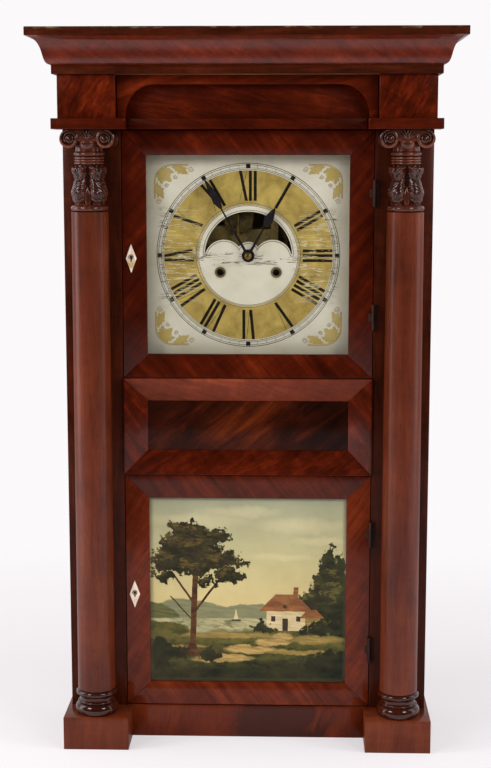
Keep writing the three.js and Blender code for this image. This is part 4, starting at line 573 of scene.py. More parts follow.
def addBlock(bm, low, high):
    made = bmesh.ops.create_cube(bm, size=1)["verts"]
    low, high = Vector(low), Vector(high)
    bmesh.ops.scale(bm, vec=(high - low) * mm, verts=made)
    bmesh.ops.translate(bm, vec=(high + low) * 0.5 * mm, verts=made)


def chain(bm, points, closed=False):
    verts = [bm.verts.new(Vector(p) * mm) for p in points]
    edges = [bm.edges.new(pair) for pair in zip(verts, verts[1:])]
    if closed:
        edges.append(bm.edges.new((verts[-1], verts[0])))
    return verts, edges


def addSlab(bm, outline, move):
    # A flat outline filled and pushed out by the vector move
    edges = chain(bm, outline, closed=True)[1]
    face = bmesh.ops.contextual_create(bm, geom=edges)["faces"]
    pushed = bmesh.ops.extrude_face_region(bm, geom=face, use_keep_orig=True)["geom"]
    top = [v for v in pushed if isinstance(v, bmesh.types.BMVert)]
    bmesh.ops.translate(bm, vec=Vector(move) * mm, verts=top)


def turnUp(bm, profile, x, y, steps=64):
    # Turned about an upright line through x, y; the profile is a list of (radius, height)
    verts, edges = chain(bm, [(x + r, y, z) for r, z in profile])
    bmesh.ops.spin(bm, geom=verts + edges, cent=Vector((x, y, 0)) * mm, axis=(0, 0, 1),
                   angle=2 * math.pi, steps=steps, use_merge=True)


def turnThrough(bm, profile, x, z, steps=48):
    # Turned about a line along Y through x, z; the profile is a list of (radius, y)
    verts, edges = chain(bm, [(x + r, y, z) for r, y in profile])
    bmesh.ops.spin(bm, geom=verts + edges, cent=Vector((x, 0, z)) * mm, axis=(0, 1, 0),
                   angle=2 * math.pi, steps=steps, use_merge=True)


def cutAway(bm, point, normal):
    # Takes off all that lies beyond the plane and closes the cut
    everything = bm.verts[:] + bm.edges[:] + bm.faces[:]
    cut = bmesh.ops.bisect_plane(bm, geom=everything, plane_co=Vector(point) * mm, plane_no=normal,
                                 clear_outer=True)
    rim = [e for e in cut["geom_cut"] if isinstance(e, bmesh.types.BMEdge)]
    bmesh.ops.holes_fill(bm, edges=rim, sides=0)


def soften(bm, width, segments=2, angle=30):
    # Rounds every edge that turns by more than angle degrees
    sharp = [e for e in bm.edges if len(e.link_faces) == 2 and e.calc_face_angle(0) > math.radians(angle)]
    bmesh.ops.bevel(bm, geom=sharp, offset=width * mm, offset_type="OFFSET", segments=segments,
                    profile=0.5, affect="EDGES", material=-1, clamp_overlap=True)


def finishPiece(bm, name, materials, body, stands=(), smooth=32):
    bmesh.ops.remove_doubles(bm, verts=bm.verts, dist=2e-7)
    bmesh.ops.recalc_face_normals(bm, faces=bm.faces)
    mesh = bpy.data.meshes.new(name)
    bm.to_mesh(mesh)
    bm.free()
    for polygon in mesh.polygons:
        polygon.use_smooth = True
    mesh.set_sharp_from_angle(angle=math.radians(smooth))
    for material in (materials if isinstance(materials, (list, tuple)) else [materials]):
        mesh.materials.append(material)
    piece = bpy.data.objects.new(name, mesh)
    scene.collection.objects.link(piece)
    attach(piece, body)
    if stands:
        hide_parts(*stands)
    return piece


def nodeCopy(name):
    bm = bmesh.new()
    bm.from_mesh(frame["nodes"][name].data)
    bmesh.ops.remove_doubles(bm, verts=bm.verts, dist=1e-6)
    bmesh.ops.dissolve_limit(bm, angle_limit=math.radians(0.5), verts=bm.verts, edges=bm.edges)
    return bm


def softenedNode(name, material, width, segments=2, angle=30, smooth=32):
    # The node's own form with its sharp edges rounded off
    bm = nodeCopy(name)
    soften(bm, width, segments, angle)
    body = body_of(frame["nodes"][name])[0]
    finishPiece(bm, name + "_finished", material, body, [name], smooth)


def paintNode(name, material):
    node = frame["nodes"][name]
    node.data.materials.clear()
    node.data.materials.append(material)


def tubeMesh(name, points, radius, closed=False):
    # A round wire along the points, made a mesh
    line = bpy.data.curves.new(name, "CURVE")
    line.dimensions = "3D"
    line.bevel_depth = radius * mm
    line.bevel_resolution = 2
    spline = line.splines.new("POLY")
    spline.points.add(len(points) - 1)
    for knot, point in zip(spline.points, points):
        knot.co = (*(Vector(point) * mm), 1)
        knot.radius = 1
    spline.use_cyclic_u = closed
    line.use_fill_caps = not closed
    holder = bpy.data.objects.new(name, line)
    scene.collection.objects.link(holder)
    shape = bpy.data.meshes.new_from_object(holder.evaluated_get(bpy.context.evaluated_depsgraph_get()))
    bpy.data.objects.remove(holder)
    return shape


def tube(name, points, radius, material, body, closed=False):
    bm = bmesh.new()
    bm.from_mesh(tubeMesh(name, points, radius, closed))
    finishPiece(bm, name, material, body, smooth=60)


# Cornice

corniceSizes = {
    "halfWidth": 210, "frontY": -53.4, "backY": 83.6, "bottomZ": 776.8, "topZ": 826, "coreBackY": -3.4,
    "fillet": 5.2, "reach": 30.2, "cymaBottom": 786.6, "cymaTop": 816.7, "round": 0.4,
    "cymaShares": [(0, 0), (0.507, 0), (0.121, 0.88), (1, 1)], "curveSteps": 26,
    "quirk": 0.3,  # the fillet stops this far below the ogee
    "mitreGap": 0.03, "mitreRun": 5,
    "finishMargin": 0.2,  # the ogee's finish starts this far below it
}


def corniceOutline():
    s = corniceSizes
    width, height = s["reach"] - s["fillet"], s["cymaTop"] - s["cymaBottom"]
    knots = [Vector((s["fillet"] + width * a, s["cymaBottom"] + height * b, 0)) for a, b in s["cymaShares"]]
    curve = interpolate_bezier(*knots, s["curveSteps"])
    edge = s["round"]
    return [
        (0, s["bottomZ"]), (s["fillet"] - edge, s["bottomZ"]), (s["fillet"], s["bottomZ"] + edge),
        (s["fillet"], s["cymaBottom"] - s["quirk"]), *[(p.x, p.y) for p in curve[1:]],
        (s["reach"], s["topZ"] - 2 * edge), (s["reach"] - 0.6 * edge, s["topZ"] - 0.5 * edge),
        (s["reach"] - 2 * edge, s["topZ"]), (0, s["topZ"]),
    ]


def corniceRun(name, side, finishNames):
    # side 0 is the front run, -1 and 1 are the returns; the mitres are cut at the front corners
    s = corniceSizes
    bm = bmesh.new()
    outline = corniceOutline()
    over = s["reach"] + s["mitreRun"]
    if side == 0:
        addSlab(bm, [(-s["halfWidth"] - over, s["frontY"] - out, z) for out, z in outline],
                (2 * (s["halfWidth"] + over), 0, 0))
        for hand in (-1, 1):
            cutAway(bm, (hand * (s["halfWidth"] - s["mitreGap"]), s["frontY"], 0), (hand, 1, 0))
    else:
        addSlab(bm, [(side * (s["halfWidth"] + out), s["frontY"] - over, z) for out, z in outline],
                (0, s["backY"] - s["frontY"] + over, 0))
        cutAway(bm, (side * (s["halfWidth"] + s["mitreGap"]), s["frontY"], 0), (-side, -1, 0))
    low, high = s["cymaBottom"] - s["finishMargin"], s["cymaTop"] - s["finishMargin"]
    for face in bm.faces:
        face.material_index = 1 if low < face.calc_center_median().z / mm < high else 0
    finishPiece(bm, name, [finishes[n] for n in finishNames], caseBody, ["cornice"], 40)


def makeCornice():
    s = corniceSizes
    corniceRun("cornice_front", 0, ["fasciaWood", "cymaWood"])
    corniceRun("cornice_left_return", -1, ["fasciaWood", "cymaSide"])
    corniceRun("cornice_right_return", 1, ["fasciaWood", "cymaSide"])
    bm = bmesh.new()
    addBlock(bm, (-s["halfWidth"], s["frontY"], s["bottomZ"]), (s["halfWidth"], s["coreBackY"], s["topZ"]))
    finishPiece(bm, "cornice_core", finishes["pineLevel"], caseBody)


makeCornice()
print("cornice done")


# Frieze: blocks, arched board, head rail and ledges

friezeSizes = {
    "bottomZ": 728.9, "topZ": 776.7, "panelHalf": 145, "springX": 136.5, "shoulder": 31.6,
    "rise": 37.5, "boardFront": -39.4, "boardBack": -29.4, "arcSteps": 28,
    "cleatZ": 771.5, "cleatBack": -25.5,  # the strip that holds the board at its top
    "boardEdge": 0.35, "railEdge": 0.4, "blockEdge": 0.5, "ledgeEdge": 0.6,
}


def archOutline():
    s = friezeSizes
    centreX = s["springX"] - s["shoulder"]
    arc = []
    for step in range(s["arcSteps"] + 1):
        angle = math.pi / 2 * step / s["arcSteps"]
        arc.append((centreX + s["shoulder"] * math.cos(angle), s["bottomZ"] + s["rise"] * math.sin(angle)))
    left = [(-x, z) for x, z in arc]
    return [(-s["panelHalf"], s["bottomZ"])] + left + arc[::-1] + [
        (s["panelHalf"], s["bottomZ"]), (s["panelHalf"], s["topZ"]), (-s["panelHalf"], s["topZ"])]


def makeFrieze():
    s = friezeSizes
    bm = bmesh.new()
    addSlab(bm, [(x, s["boardFront"], z) for x, z in archOutline()], (0, s["boardBack"] - s["boardFront"], 0))
    bmesh.ops.recalc_face_normals(bm, faces=bm.faces)
    soften(bm, s["boardEdge"], 2, 50)
    addBlock(bm, (-s["panelHalf"], s["boardBack"] - joinOverlap, s["cleatZ"]),
             (s["panelHalf"], s["cleatBack"], s["topZ"]))
    finishPiece(bm, "frieze_arch_board", finishes["archWood"], caseBody, ["frieze_arch"], 40)
    softenedNode("frieze_rail", finishes["recessWood"], s["railEdge"])
    for side in ("left", "right"):
        softenedNode(side + "_frieze_block", finishes["blockWood"], s["blockEdge"], 3)
        softenedNode(side + "_ledge", finishes["ledgeWood"], s["ledgeEdge"], 3)


makeFrieze()
print("frieze done")


# Carcass

carcass = {  # finish, slot and width of the softened edges
    "left_side": ("caseWood", "mahogany", 0.5), "right_side": ("caseWood", "mahogany", 0.5),
    "left_stile": ("caseWood", "mahogany", 0.4), "right_stile": ("caseWood", "mahogany", 0.4),
    "left_plinth": ("plinthWood", "mahogany", 0.7), "right_plinth": ("plinthWood", "mahogany", 0.7),
    "base_rail": ("railWood", "figured_mahogany", 0.6),
    "middle_panel": ("flameWood", "figured_mahogany", 0.3),
    "backboard": ("pineUpright", "pine", 0.6), "bottom_board": ("pineLevel", "pine", 0.5),
    "top_board": ("pineLevel", "pine", 0.5),
}
for nodeName, (finish, slotName, width) in carcass.items():
    softenedNode(nodeName, finishes[finish], width)
print("carcass done")


# Columns

columnSizes = {
    "x": 177.4, "y": -37.0, "flatY": -17.5, "facets": 96, "footZ": 38.9, "topZ": 625.5, "seat": 15,
    "bellRadius": 25.4, "bellRound": 6.6, "bellBlunt": 0.8, "bellMiddle": 4.6, "bellRise": 8.432, "bellFall": 6.8,
    "bellStart": -35, "bellTurn": 9, "bellSteps": 12,  # degrees round the bell's own middle
    "fillet": (22.3, 13.4, 2.4),  # radius, rise above the foot, height
    "ring": (24.2, 21.8, 6.8),
    "underFillet": [(19.6, 13.2)],  # radius, rise above the foot
    "hollow": [(21.0, 16.4), (20.3, 18.2), (20.6, 20.2), (21.6, 21.6)],
    "overRing": [(21.9, 29.2)],
    "shaftRise": 30, "footRadius": 22.0, "neckRadius": 20.8, "swell": 0.12, "shaftSteps": 12,
    "footTop": 68.0,  # the dark polish ends here
}


def roundedBand(size, base, steps):
    # Half-round bead as (radius, height) points; size is its radius, its rise above base and its height
    radius, rise, height = size
    half = height / 2
    points = []
    for step in range(steps + 1):
        angle = -math.pi / 2 + math.pi * step / steps
        points.append((radius - half + half * math.cos(angle), base + rise + half + half * math.sin(angle)))
    return points


def raised(points, base):
    return [(radius, base + rise) for radius, rise in points]


def columnProfile():
    s = columnSizes
    z = s["footZ"]
    profile = [(0, z), (s["seat"], z)]
    for step in range(s["bellSteps"] + 1):
        angle = math.radians(s["bellStart"] + s["bellTurn"] * step)
        rise = s["bellRise"] if angle > 0 else s["bellFall"]
        profile.append((s["bellRadius"] - s["bellRound"] + s["bellRound"] * math.cos(angle) ** s["bellBlunt"],
                        z + s["bellMiddle"] + rise * math.sin(angle)))
    profile += raised(s["underFillet"], z) + roundedBand(s["fillet"], z, 8)
    profile += raised(s["hollow"], z) + roundedBand(s["ring"], z, 14) + raised(s["overRing"], z)
    start = z + s["shaftRise"]
    for step in range(s["shaftSteps"] + 1):
        share = step / s["shaftSteps"]
        radius = s["footRadius"] + (s["neckRadius"] - s["footRadius"]) * share
        profile.append((radius + s["swell"] * math.sin(math.pi * share), start + (s["topZ"] - start) * share))
    return profile + [(0, s["topZ"])]


def makeColumns():
    s = columnSizes
    for side, hand in (("left", -1), ("right", 1)):
        bm = bmesh.new()
        turnUp(bm, columnProfile(), hand * s["x"], s["y"], s["facets"])
        bmesh.ops.remove_doubles(bm, verts=bm.verts, dist=1e-7)
        cutAway(bm, (0, s["flatY"], 0), (0, 1, 0))
        for face in bm.faces:
            face.material_index = 1 if face.calc_center_median().z < s["footTop"] * mm else 0
        finishPiece(bm, side + "_column_turned", [finishes["columnWood"], finishes["footWood"]], caseBody,
                    [side + "_column"], 50)


makeColumns()
print("columns done")


# Carved capitals

capitalSizes = {
    "bottomZ": 625.6, "facets": 72, "seat": 16, "backY": -17.6, "flatY": -17.5,
    "neckBead": (21.2, 0.2, 7.4),  # radius, rise above the bottom, height
    "neck": [(17.8, 7.8), (14.2, 9.0), (13.6, 48), (13.8, 51.6), (15.4, 52.4)],  # radius, rise above the bottom
    "bandBead": (16.6, 52.6, 2.7), "bandPitch": 2.9, "bandBeads": 3,
    "overBands": [(15.0, 61.6)], "topBead": (17.2, 61.8, 4.8),
    "head": [(15.4, 67.0), (15.2, 70), (15.2, 91.2), (0, 91.2)],
    "slab": (-53.8, 78, 91.2),  # front, and its bottom and top above the capital's bottom
}
leafShape = {  # share of the height, value
    "width": [(0, 0.62), (0.12, 0.86), (0.30, 1.0), (0.56, 0.90), (0.64, 0.84), (0.82, 0.98), (0.95, 0.96), (1, 0.8)],
    "swell": [(0, 3.0), (0.12, 6.4), (0.30, 8.2), (0.54, 5.4), (0.63, 3.6), (0.70, 5.2), (0.84, 8.2), (0.94, 8.2),
              (1, 3.4)],
    "count": 4, "rows": 90, "columns": 44, "bottom": 8.0, "top": 52.6, "thickness": 0.9,
    "reachDegrees": 41, "core": 14.8, "coreLoss": 0.9, "rib": 0.5, "ribWidth": 0.12, "hatchCut": 0.4,
    "scallop": 0.10, "scallops": 6.5, "scallopedFrom": 0.7, "innerScallop": 0.3, "rimSwell": 0.06,
    "lobes": 0.9, "lobesFrom": 0.64, "lobeRise": 0.1, "lobeWaves": 1.5, "tipFrom": 0.86, "tipDrop": 2.6,
}
bladeTaper = 0.55  # a blade's head is this much narrower than its foot
spearShape = {"size": (3.6, 1.3, 11), "reach": 15.6, "rise": 17}  # between the leaves
voluteShape = {
    "x": 20.4, "rise": 80.8, "front": -56.0, "radius": 10.2, "eye": 4.7, "eyeAside": 1.2,
    "dishDepth": 1.6, "dish": [(3.2, 1.3), (1.2, 0.5), (0, 1.2)],  # in from the edge, behind the front
    "flareDepth": 5, "flare": 0.96, "waistY": -37, "waist": 0.78, "backFlareY": -22,
    "boss": [(0, -1.2), (1.4, -1.1), (2.2, -0.5), (3.0, -0.7), (4.2, -0.2), (4.7, 0.6), (4.7, 2)],  # radius, depth
    "bandSteps": 40, "bandTurns": 1.35, "bandInset": 0.6, "bandEnd": 1.6, "bandDepth": 0.4, "bandHalf": 1.25,
    "bandLoss": 0.55, "bandSides": 8,
}
fanShape = {
    "blades": 7, "blade": (1.15, 1.5, 6.0), "firstLean": -63, "lean": 21, "reach": 5.4, "spread": (1.1, 0.98),
    "y": -55.0, "rise": 80.6,
}
bowlShape = {"size": (8.0, 5.2, 8.4), "cut": 0.6, "y": -52.6, "rise": 77.0}


def between(table, share):
    # Smooth value at share from a table of (share, value)
    for (a, low), (b, high) in zip(table, table[1:]):
        if share <= b:
            t = max(0.0, min(1.0, (share - a) / (b - a)))
            t = t * t * (3 - 2 * t)
            return low + (high - low) * t
    return table[-1][1]


def capitalProfile():
    c = capitalSizes
    z = c["bottomZ"]
    profile = [(0, z), (c["seat"], z)] + roundedBand(c["neckBead"], z, 12) + raised(c["neck"], z)
    for ring in range(c["bandBeads"]):
        profile += roundedBand(c["bandBead"], z + c["bandPitch"] * ring, 6)
    profile += raised(c["overBands"], z) + roundedBand(c["topBead"], z, 10)
    return profile + raised(c["head"], z)


def addLeaf(bm, x, y, centreAngle):
    leaf = leafShape
    made = bmesh.ops.create_grid(bm, x_segments=leaf["columns"], y_segments=leaf["rows"], size=1)["verts"]
    for vert in made:
        u, v = vert.co.x, (vert.co.y + 1) / 2  # across and up the leaf
        share = 1 if abs(u) > leaf["scallopedFrom"] else leaf["innerScallop"]
        scallop = 1 - leaf["scallop"] * abs(math.sin(math.pi * v * leaf["scallops"])) * share
        angle = centreAngle + math.radians(leaf["reachDegrees"]) * between(leaf["width"], v) * u * scallop
        dome = max(0.0, 1 - abs(u) ** 3)
        swell = between(leaf["swell"], v) * (leaf["rimSwell"] + (1 - leaf["rimSwell"]) * dome)
        if v > leaf["lobesFrom"]:  # the head parts into three curled lobes
            curl = min(1, (v - leaf["lobesFrom"]) / leaf["lobeRise"])
            swell -= leaf["lobes"] * (1 - math.cos(2 * math.pi * leaf["lobeWaves"] * u)) * curl * dome
        rib = leaf["rib"] * math.exp(-(u / leaf["ribWidth"]) ** 2) * (1 if 0.04 < v < 0.9 else 0.3)
        radius = leaf["core"] - leaf["coreLoss"] * v + swell + rib
        height = capitalSizes["bottomZ"] + leaf["bottom"] + (leaf["top"] - leaf["bottom"]) * v
        height -= leaf["tipDrop"] * max(0.0, (v - leaf["tipFrom"]) / (1 - leaf["tipFrom"])) * dome
        line = (abs(radius * math.sin(angle)) * carving["hatchFall"] + height) / (carving["hatchPitch"] / mm)
        radius -= leaf["hatchCut"] * abs(2 * (line % 1) - 1) ** 2 * dome
        vert.co = Vector((x + radius * math.sin(angle), y - radius * math.cos(angle), height)) * mm
    faces = list({f for v in made for f in v.link_faces})
    bmesh.ops.recalc_face_normals(bm, faces=faces)
    bmesh.ops.solidify(bm, geom=faces, thickness=leaf["thickness"] * mm)


def addDrop(bm, centre, size, tilt):
    # A leaf blade: a ball squeezed to size and leaned over in the plane of the face
    made = bmesh.ops.create_uvsphere(bm, u_segments=14, v_segments=9, radius=1)["verts"]
    for vert in made:
        vert.co.x *= 1 - bladeTaper * max(0.0, vert.co.z)
    bmesh.ops.scale(bm, vec=Vector(size) * mm, verts=made)
    bmesh.ops.rotate(bm, cent=(0, 0, 0), matrix=Matrix.Rotation(tilt, 3, "Y"), verts=made)
    bmesh.ops.translate(bm, vec=Vector(centre) * mm, verts=made)
    return made


def addScrollBand(bm, x, z, hand):
    # The band of a scroll, as linked rings that shrink towards the eye
    s = voluteShape
    previous = None
    for step in range(s["bandSteps"] + 1):
        share = step / s["bandSteps"]
        angle = math.pi / 2 - hand * s["bandTurns"] * 2 * math.pi * share
        reach = s["radius"] - s["bandInset"] - (s["radius"] - s["eye"] - s["bandEnd"]) * share
        across, up = reach * math.cos(angle) - hand * s["eyeAside"] * share, reach * math.sin(angle)
        half = s["bandHalf"] - s["bandLoss"] * share
        loop = bmesh.ops.create_circle(bm, cap_ends=False, segments=s["bandSides"], radius=half * mm)["verts"]
        for turn, axis in ((math.pi / 2, "X"), (math.pi / 2, "Z"), (-math.atan2(up, across) - math.pi / 2, "Y")):
            bmesh.ops.rotate(bm, cent=(0, 0, 0), matrix=Matrix.Rotation(turn, 3, axis), verts=loop)
        bmesh.ops.translate(bm, vec=Vector((x + across, s["front"] + s["bandDepth"], z + up)) * mm, verts=loop)
        edges = list({e for v in loop for e in v.link_edges if e.other_vert(v) in loop})
        if previous:
            bmesh.ops.bridge_loops(bm, edges=previous + edges)
        previous = edges


def addVolute(bm, x, hand):
    s = voluteShape
    z, front, size = capitalSizes["bottomZ"] + s["rise"], s["front"], s["radius"]
    dish = [(size - inset, front + depth) for inset, depth in s["dish"]]
    turnThrough(bm, [(0, front + s["dishDepth"]), *dish, (size * s["flare"], front + s["flareDepth"]),
                     (size * s["waist"], s["waistY"]), (size * s["flare"], s["backFlareY"]),
                     (size, capitalSizes["backY"]), (0, capitalSizes["backY"])], x, z)
    boss = [(radius, front + depth) for radius, depth in s["boss"]]
    turnThrough(bm, boss, x - hand * s["eyeAside"], z)
    addScrollBand(bm, x, z, hand)


def addFan(bm, x):
    s = fanShape
    for number in range(s["blades"]):
        lean = math.radians(s["firstLean"] + s["lean"] * number)
        wide, high = s["spread"]
        centre = (x + s["reach"] * math.sin(lean) * wide, s["y"],
                  capitalSizes["bottomZ"] + s["rise"] + s["reach"] * math.cos(lean) * high)
        addDrop(bm, centre, s["blade"], lean)


def addBowl(bm, x):
    s = bowlShape
    bowl = bmesh.ops.create_uvsphere(bm, u_segments=24, v_segments=16, radius=1)["verts"]
    bmesh.ops.scale(bm, vec=Vector(s["size"]) * mm, verts=bowl)
    for vert in bowl:
        vert.co.z = min(vert.co.z, s["cut"] * mm)
    bmesh.ops.translate(bm, vec=Vector((x, s["y"], capitalSizes["bottomZ"] + s["rise"])) * mm, verts=bowl)


def makeCapital(side, hand):
    c = capitalSizes
    x, y, z = hand * columnSizes["x"], columnSizes["y"], c["bottomZ"]
    bm = bmesh.new()
    for sideHand in (-1, 1):
        addVolute(bm, x + sideHand * voluteShape["x"], sideHand)
    turnUp(bm, capitalProfile(), x, y, c["facets"])
    for number in range(leafShape["count"]):
        addLeaf(bm, x, y, math.radians(45 + 90 * number))
        gap = math.radians(90 * number)
        spear = addDrop(bm, (0, 0, 0), spearShape["size"], 0)
        bmesh.ops.rotate(bm, cent=(0, 0, 0), matrix=Matrix.Rotation(gap, 3, "Z"), verts=spear)
        reach = spearShape["reach"]
        place = Vector((x + reach * math.sin(gap), y - reach * math.cos(gap), z + spearShape["rise"]))
        bmesh.ops.translate(bm, vec=place * mm, verts=spear)
    front, low, high = c["slab"]
    addBlock(bm, (x - voluteShape["x"], front, z + low), (x + voluteShape["x"], c["backY"], z + high))
    addFan(bm, x)
    addBowl(bm, x)
    cutAway(bm, (0, c["flatY"], 0), (0, 1, 0))
    finishPiece(bm, side + "_capital_carved", finishes["carved"], caseBody,
                [side + "_capital"], 60)


makeCapital("left", -1)
makeCapital("right", 1)
print("capitals done")


# Doors and the middle frame

frameSizes = {  # finishes of the left, right, top and bottom members
    "upper_door": {"bottomZ": 433.9, "topZ": 716.2, "half": 143.2,
                   "finishes": ["risingWood", "risingWood", "fallingWood", "fallingWood"]},
    "lower_door": {"bottomZ": 40.2, "topZ": 319.3, "half": 143.2,
                   "finishes": ["lowRising", "lowRising", "lowTop", "lowFalling"]},
    "middle": {"bottomZ": 320.1, "topZ": 433.1, "half": 143.9,
               "finishes": ["splaySide", "splaySide", "splayTopSheen", "splayBottom"]},
    "doorSection": [(0, -17.4), (27.6, -17.4), (27.6, -12.4), (24.0, -12.4), (24.0, -2.4), (0, -2.4)],
    "middleSection": [(0, -20.4), (2.0, -20.4), (27.4, -8.4), (27.4, -3.4), (0, -3.4)],
    "mitreGap": 0.04, "soft": 0.45,
}


def mitredFrame(key, section, body, stands):
    # Left, right, top and bottom members, each cut at both mitres
    s = frameSizes[key]
    half, low, high = s["half"], s["bottomZ"], s["topZ"]
    gap = frameSizes["mitreGap"]
    names = ["left_stile", "right_stile", "top_rail", "bottom_rail"]
    for number, name in enumerate(names):
        bm = bmesh.new()
        if number < 2:
            hand = -1 if number == 0 else 1
            addSlab(bm, [(hand * (half - d), y, low) for d, y in section], (0, 0, high - low))
            cutAway(bm, (hand * half, 0, low + gap), (-hand, 0, -1))
            cutAway(bm, (hand * half, 0, high - gap), (-hand, 0, 1))
        else:
            hand = 1 if number == 2 else -1
            edge = high if number == 2 else low
            addSlab(bm, [(-half, y, edge - hand * d) for d, y in section], (2 * half, 0, 0))
            cutAway(bm, (-half + gap, 0, edge), (-1, 0, -hand))
            cutAway(bm, (half - gap, 0, edge), (1, 0, -hand))
        bmesh.ops.recalc_face_normals(bm, faces=bm.faces)
        soften(bm, frameSizes["soft"], 2, 20)
        finishPiece(bm, key + "_" + name, finishes[s["finishes"][number]], body,
                    stands if number == 0 else ())


doorSizes = {
    "hingeX": 143.6, "hingeY": -19.8, "upperHinges": (645.625, 504.475), "lowerHinges": (249.525, 109.975),
    "knuckleRadius": 2.1, "bore": 1.25, "knuckleHalf": 4.7, "leafX": (138.2, 142.2), "leafY": (-18.1, -17.3),
    "hingeEdge": 0.12, "plateEdge": 0.25, "glassEdge": 0.2,
    "keyX": -133.4, "upperKeyZ": 571.6, "lowerKeyZ": 175.4, "keyRise": 1.7,
    "holeRadius": 1.9, "slotHalf": 0.9, "slotDrop": 3.9, "holeY": (-17.47, -17.42),
    "plateFront": -18.4, "liningInner": 2.0, "liningOuter": 3.0, "liningRound": 0.25, "liningProud": 0.5,
    "liningShoulder": 0.3,
}


def doorKnuckles(name, heights, body):
    s = doorSizes
    bm = bmesh.new()
    half, bore, radius = s["knuckleHalf"], s["bore"], s["knuckleRadius"]
    for z in heights:
        turnUp(bm, [(bore, z - half), (radius, z - half), (radius, z + half), (bore, z + half), (bore, z - half)],
               s["hingeX"], s["hingeY"], 24)
        addBlock(bm, (s["leafX"][0], s["leafY"][0], z - half), (s["leafX"][1], s["leafY"][1], z + half))
    finishPiece(bm, name, finishes["hingeBrass"], body)


def keyhole(name, plateZ, body):
    # The keyhole's shape as a thin sheet of darker wood behind the plate, painted shade standing in for the hole, and
    # the brass lining on the plate's front
    s = doorSizes
    x, z = s["keyX"], plateZ + s["keyRise"]
    front, back = s["holeY"]
    bm = bmesh.new()
    turnThrough(bm, [(0, back), (s["holeRadius"], back), (s["holeRadius"], front), (0, front)], x, z, 20)
    addBlock(bm, (x - s["slotHalf"], front, plateZ - s["slotDrop"]), (x + s["slotHalf"], back, z))
    finishPiece(bm, name, finishes["recessWood"], body)
    bm = bmesh.new()
    inner, outer, edge = s["liningInner"], s["liningOuter"], s["liningRound"]
    seat = s["plateFront"] + joinOverlap
    shoulder, top = s["plateFront"] - s["liningShoulder"], s["plateFront"] - s["liningProud"]
    turnThrough(bm, [(inner, seat), (inner, shoulder), (inner + edge, top), (outer - edge, top), (outer, shoulder),
                     (outer, seat), (inner, seat)], x, z, 32)
    finishPiece(bm, name + "_lining", finishes["brass"], body, smooth=60)


def makeDoors():
    s = doorSizes
    mitredFrame("upper_door", frameSizes["doorSection"], "upper_door", ["upper_door_frame"])
    mitredFrame("lower_door", frameSizes["doorSection"], "lower_door", ["lower_door_frame"])
    mitredFrame("middle", frameSizes["middleSection"], caseBody, ["middle_frame"])
    doorKnuckles("upper_door_knuckles", s["upperHinges"], "upper_door")
    doorKnuckles("lower_door_knuckles", s["lowerHinges"], "lower_door")
    for door in ("upper", "lower"):
        for end in ("top", "bottom"):
            softenedNode("%s_door_hinge_%s" % (door, end), finishes["hingeBrass"], s["hingeEdge"],
                         1, 50, 40)
        softenedNode(door + "_escutcheon", finishes["bone"], s["plateEdge"])
        keyhole(door + "_keyhole", s[door + "KeyZ"], door + "_door")
    softenedNode("upper_door_glass", finishes["glass"], s["glassEdge"], 1)


makeDoors()
print("doors done")


# Dial

dialSizes = {
    "centreZ": 573.8, "halfWidth": 141, "halfHeight": 137, "front": 4.6, "back": 11.1, "edge": 0.4,
    "wing": 50.6, "lobe": 22.4, "lobeX": 28.2, "lobeRise": 18.0, "middle": 12.6, "middleRise": 15.6,
    "cusp": 7.4, "horn": 1.0, "windX": 32.4, "windZ": 554.4, "windHole": 4.2, "centreHole": 4.8,
    "cutterProud": 2, "cutterDepth": 12,
    "goldOuter": 97.7, "goldInner": 60.2, "goldLine": (58.0, 59.4),
    "lines": [(105.7, 0.75), (103.8, 0.5), (100.5, 0.5), (98.9, 0.6), (60.1, 0.6), (57.3, 0.5)],  # radius, width
    "ticks": 60, "tick": (0.4, 100.1, 104.2),  # width, inner and outer end
    "markerRadius": 102.4, "markerSize": 5.0,
    "numeralInner": 62.9, "numeralOuter": 97.2, "thick": 3.5, "thin": 0.45,
    "layer": 0.05, "paintDepth": 0.1,  # one coat of paint, and how far it reaches into the board
    "coats": {"gold": 1, "goldLine": 1.2, "ticks": 1.5, "lines": 1.6, "numerals": 2, "markers": 2.4},
    "wingGap": 1.6, "wingLine": 0.3, "beadGap": 2.4, "bead": (0.62, 0.4, 0.62), "beadProud": 0.1,
    "rim": [(-0.35, 0.4), (-0.3, -0.2), (0.3, -0.35), (1.3, -0.2), (1.5, 0.1), (-0.35, 0.4)],  # out, behind the face
}
numerals = ["XII", "I", "II", "III", "IIII", "V", "VI", "VII", "VIII", "IX", "X", "XI"]
letters = {  # strokes as foot and head from the letter's middle, weight, and how far the stroke lies back
    "I": {"width": 5.6, "strokes": [(0, 0, "thick", 0)]},
    "V": {"width": 10.2, "strokes": [(0, -3.3, "thick", 0), (1.0, 4.7, "thin", 0)]},
    "X": {"width": 10.4, "strokes": [(3.5, -3.5, "thick", 0), (-4.3, 4.3, "thin", 0.01)]},
}
cracking = {  # in mm from the dial's middle, where the cracks begin and where they are full
    "sidesInner": (48, 66), "sidesOuter": (106, 100), "sidesHigh": (62, 40),
    "bandDrop": 4.0, "bandHigh": (9, 4), "bandWide": (62, 54), "patches": (0.36, 0.50), "depth": 0.5,
}
dialMarks = {
    # the first row makes the board darker towards its edges
    "edgeDarkWide": (102, 122), "edgeDarkHigh": (100, 120), "edgeDarkShare": 0.45, "edgeDarkTone": (160, 142, 100),
    "keyRub": (9.5, 6.8), "keyRubShare": 0.4, "keyRubTone": (190, 172, 120),  # round the winding holes
    "keyGrime": (6.8, 6.2), "keyGrimeTone": (118, 108, 84), "crackTone": (84, 66, 42),
}


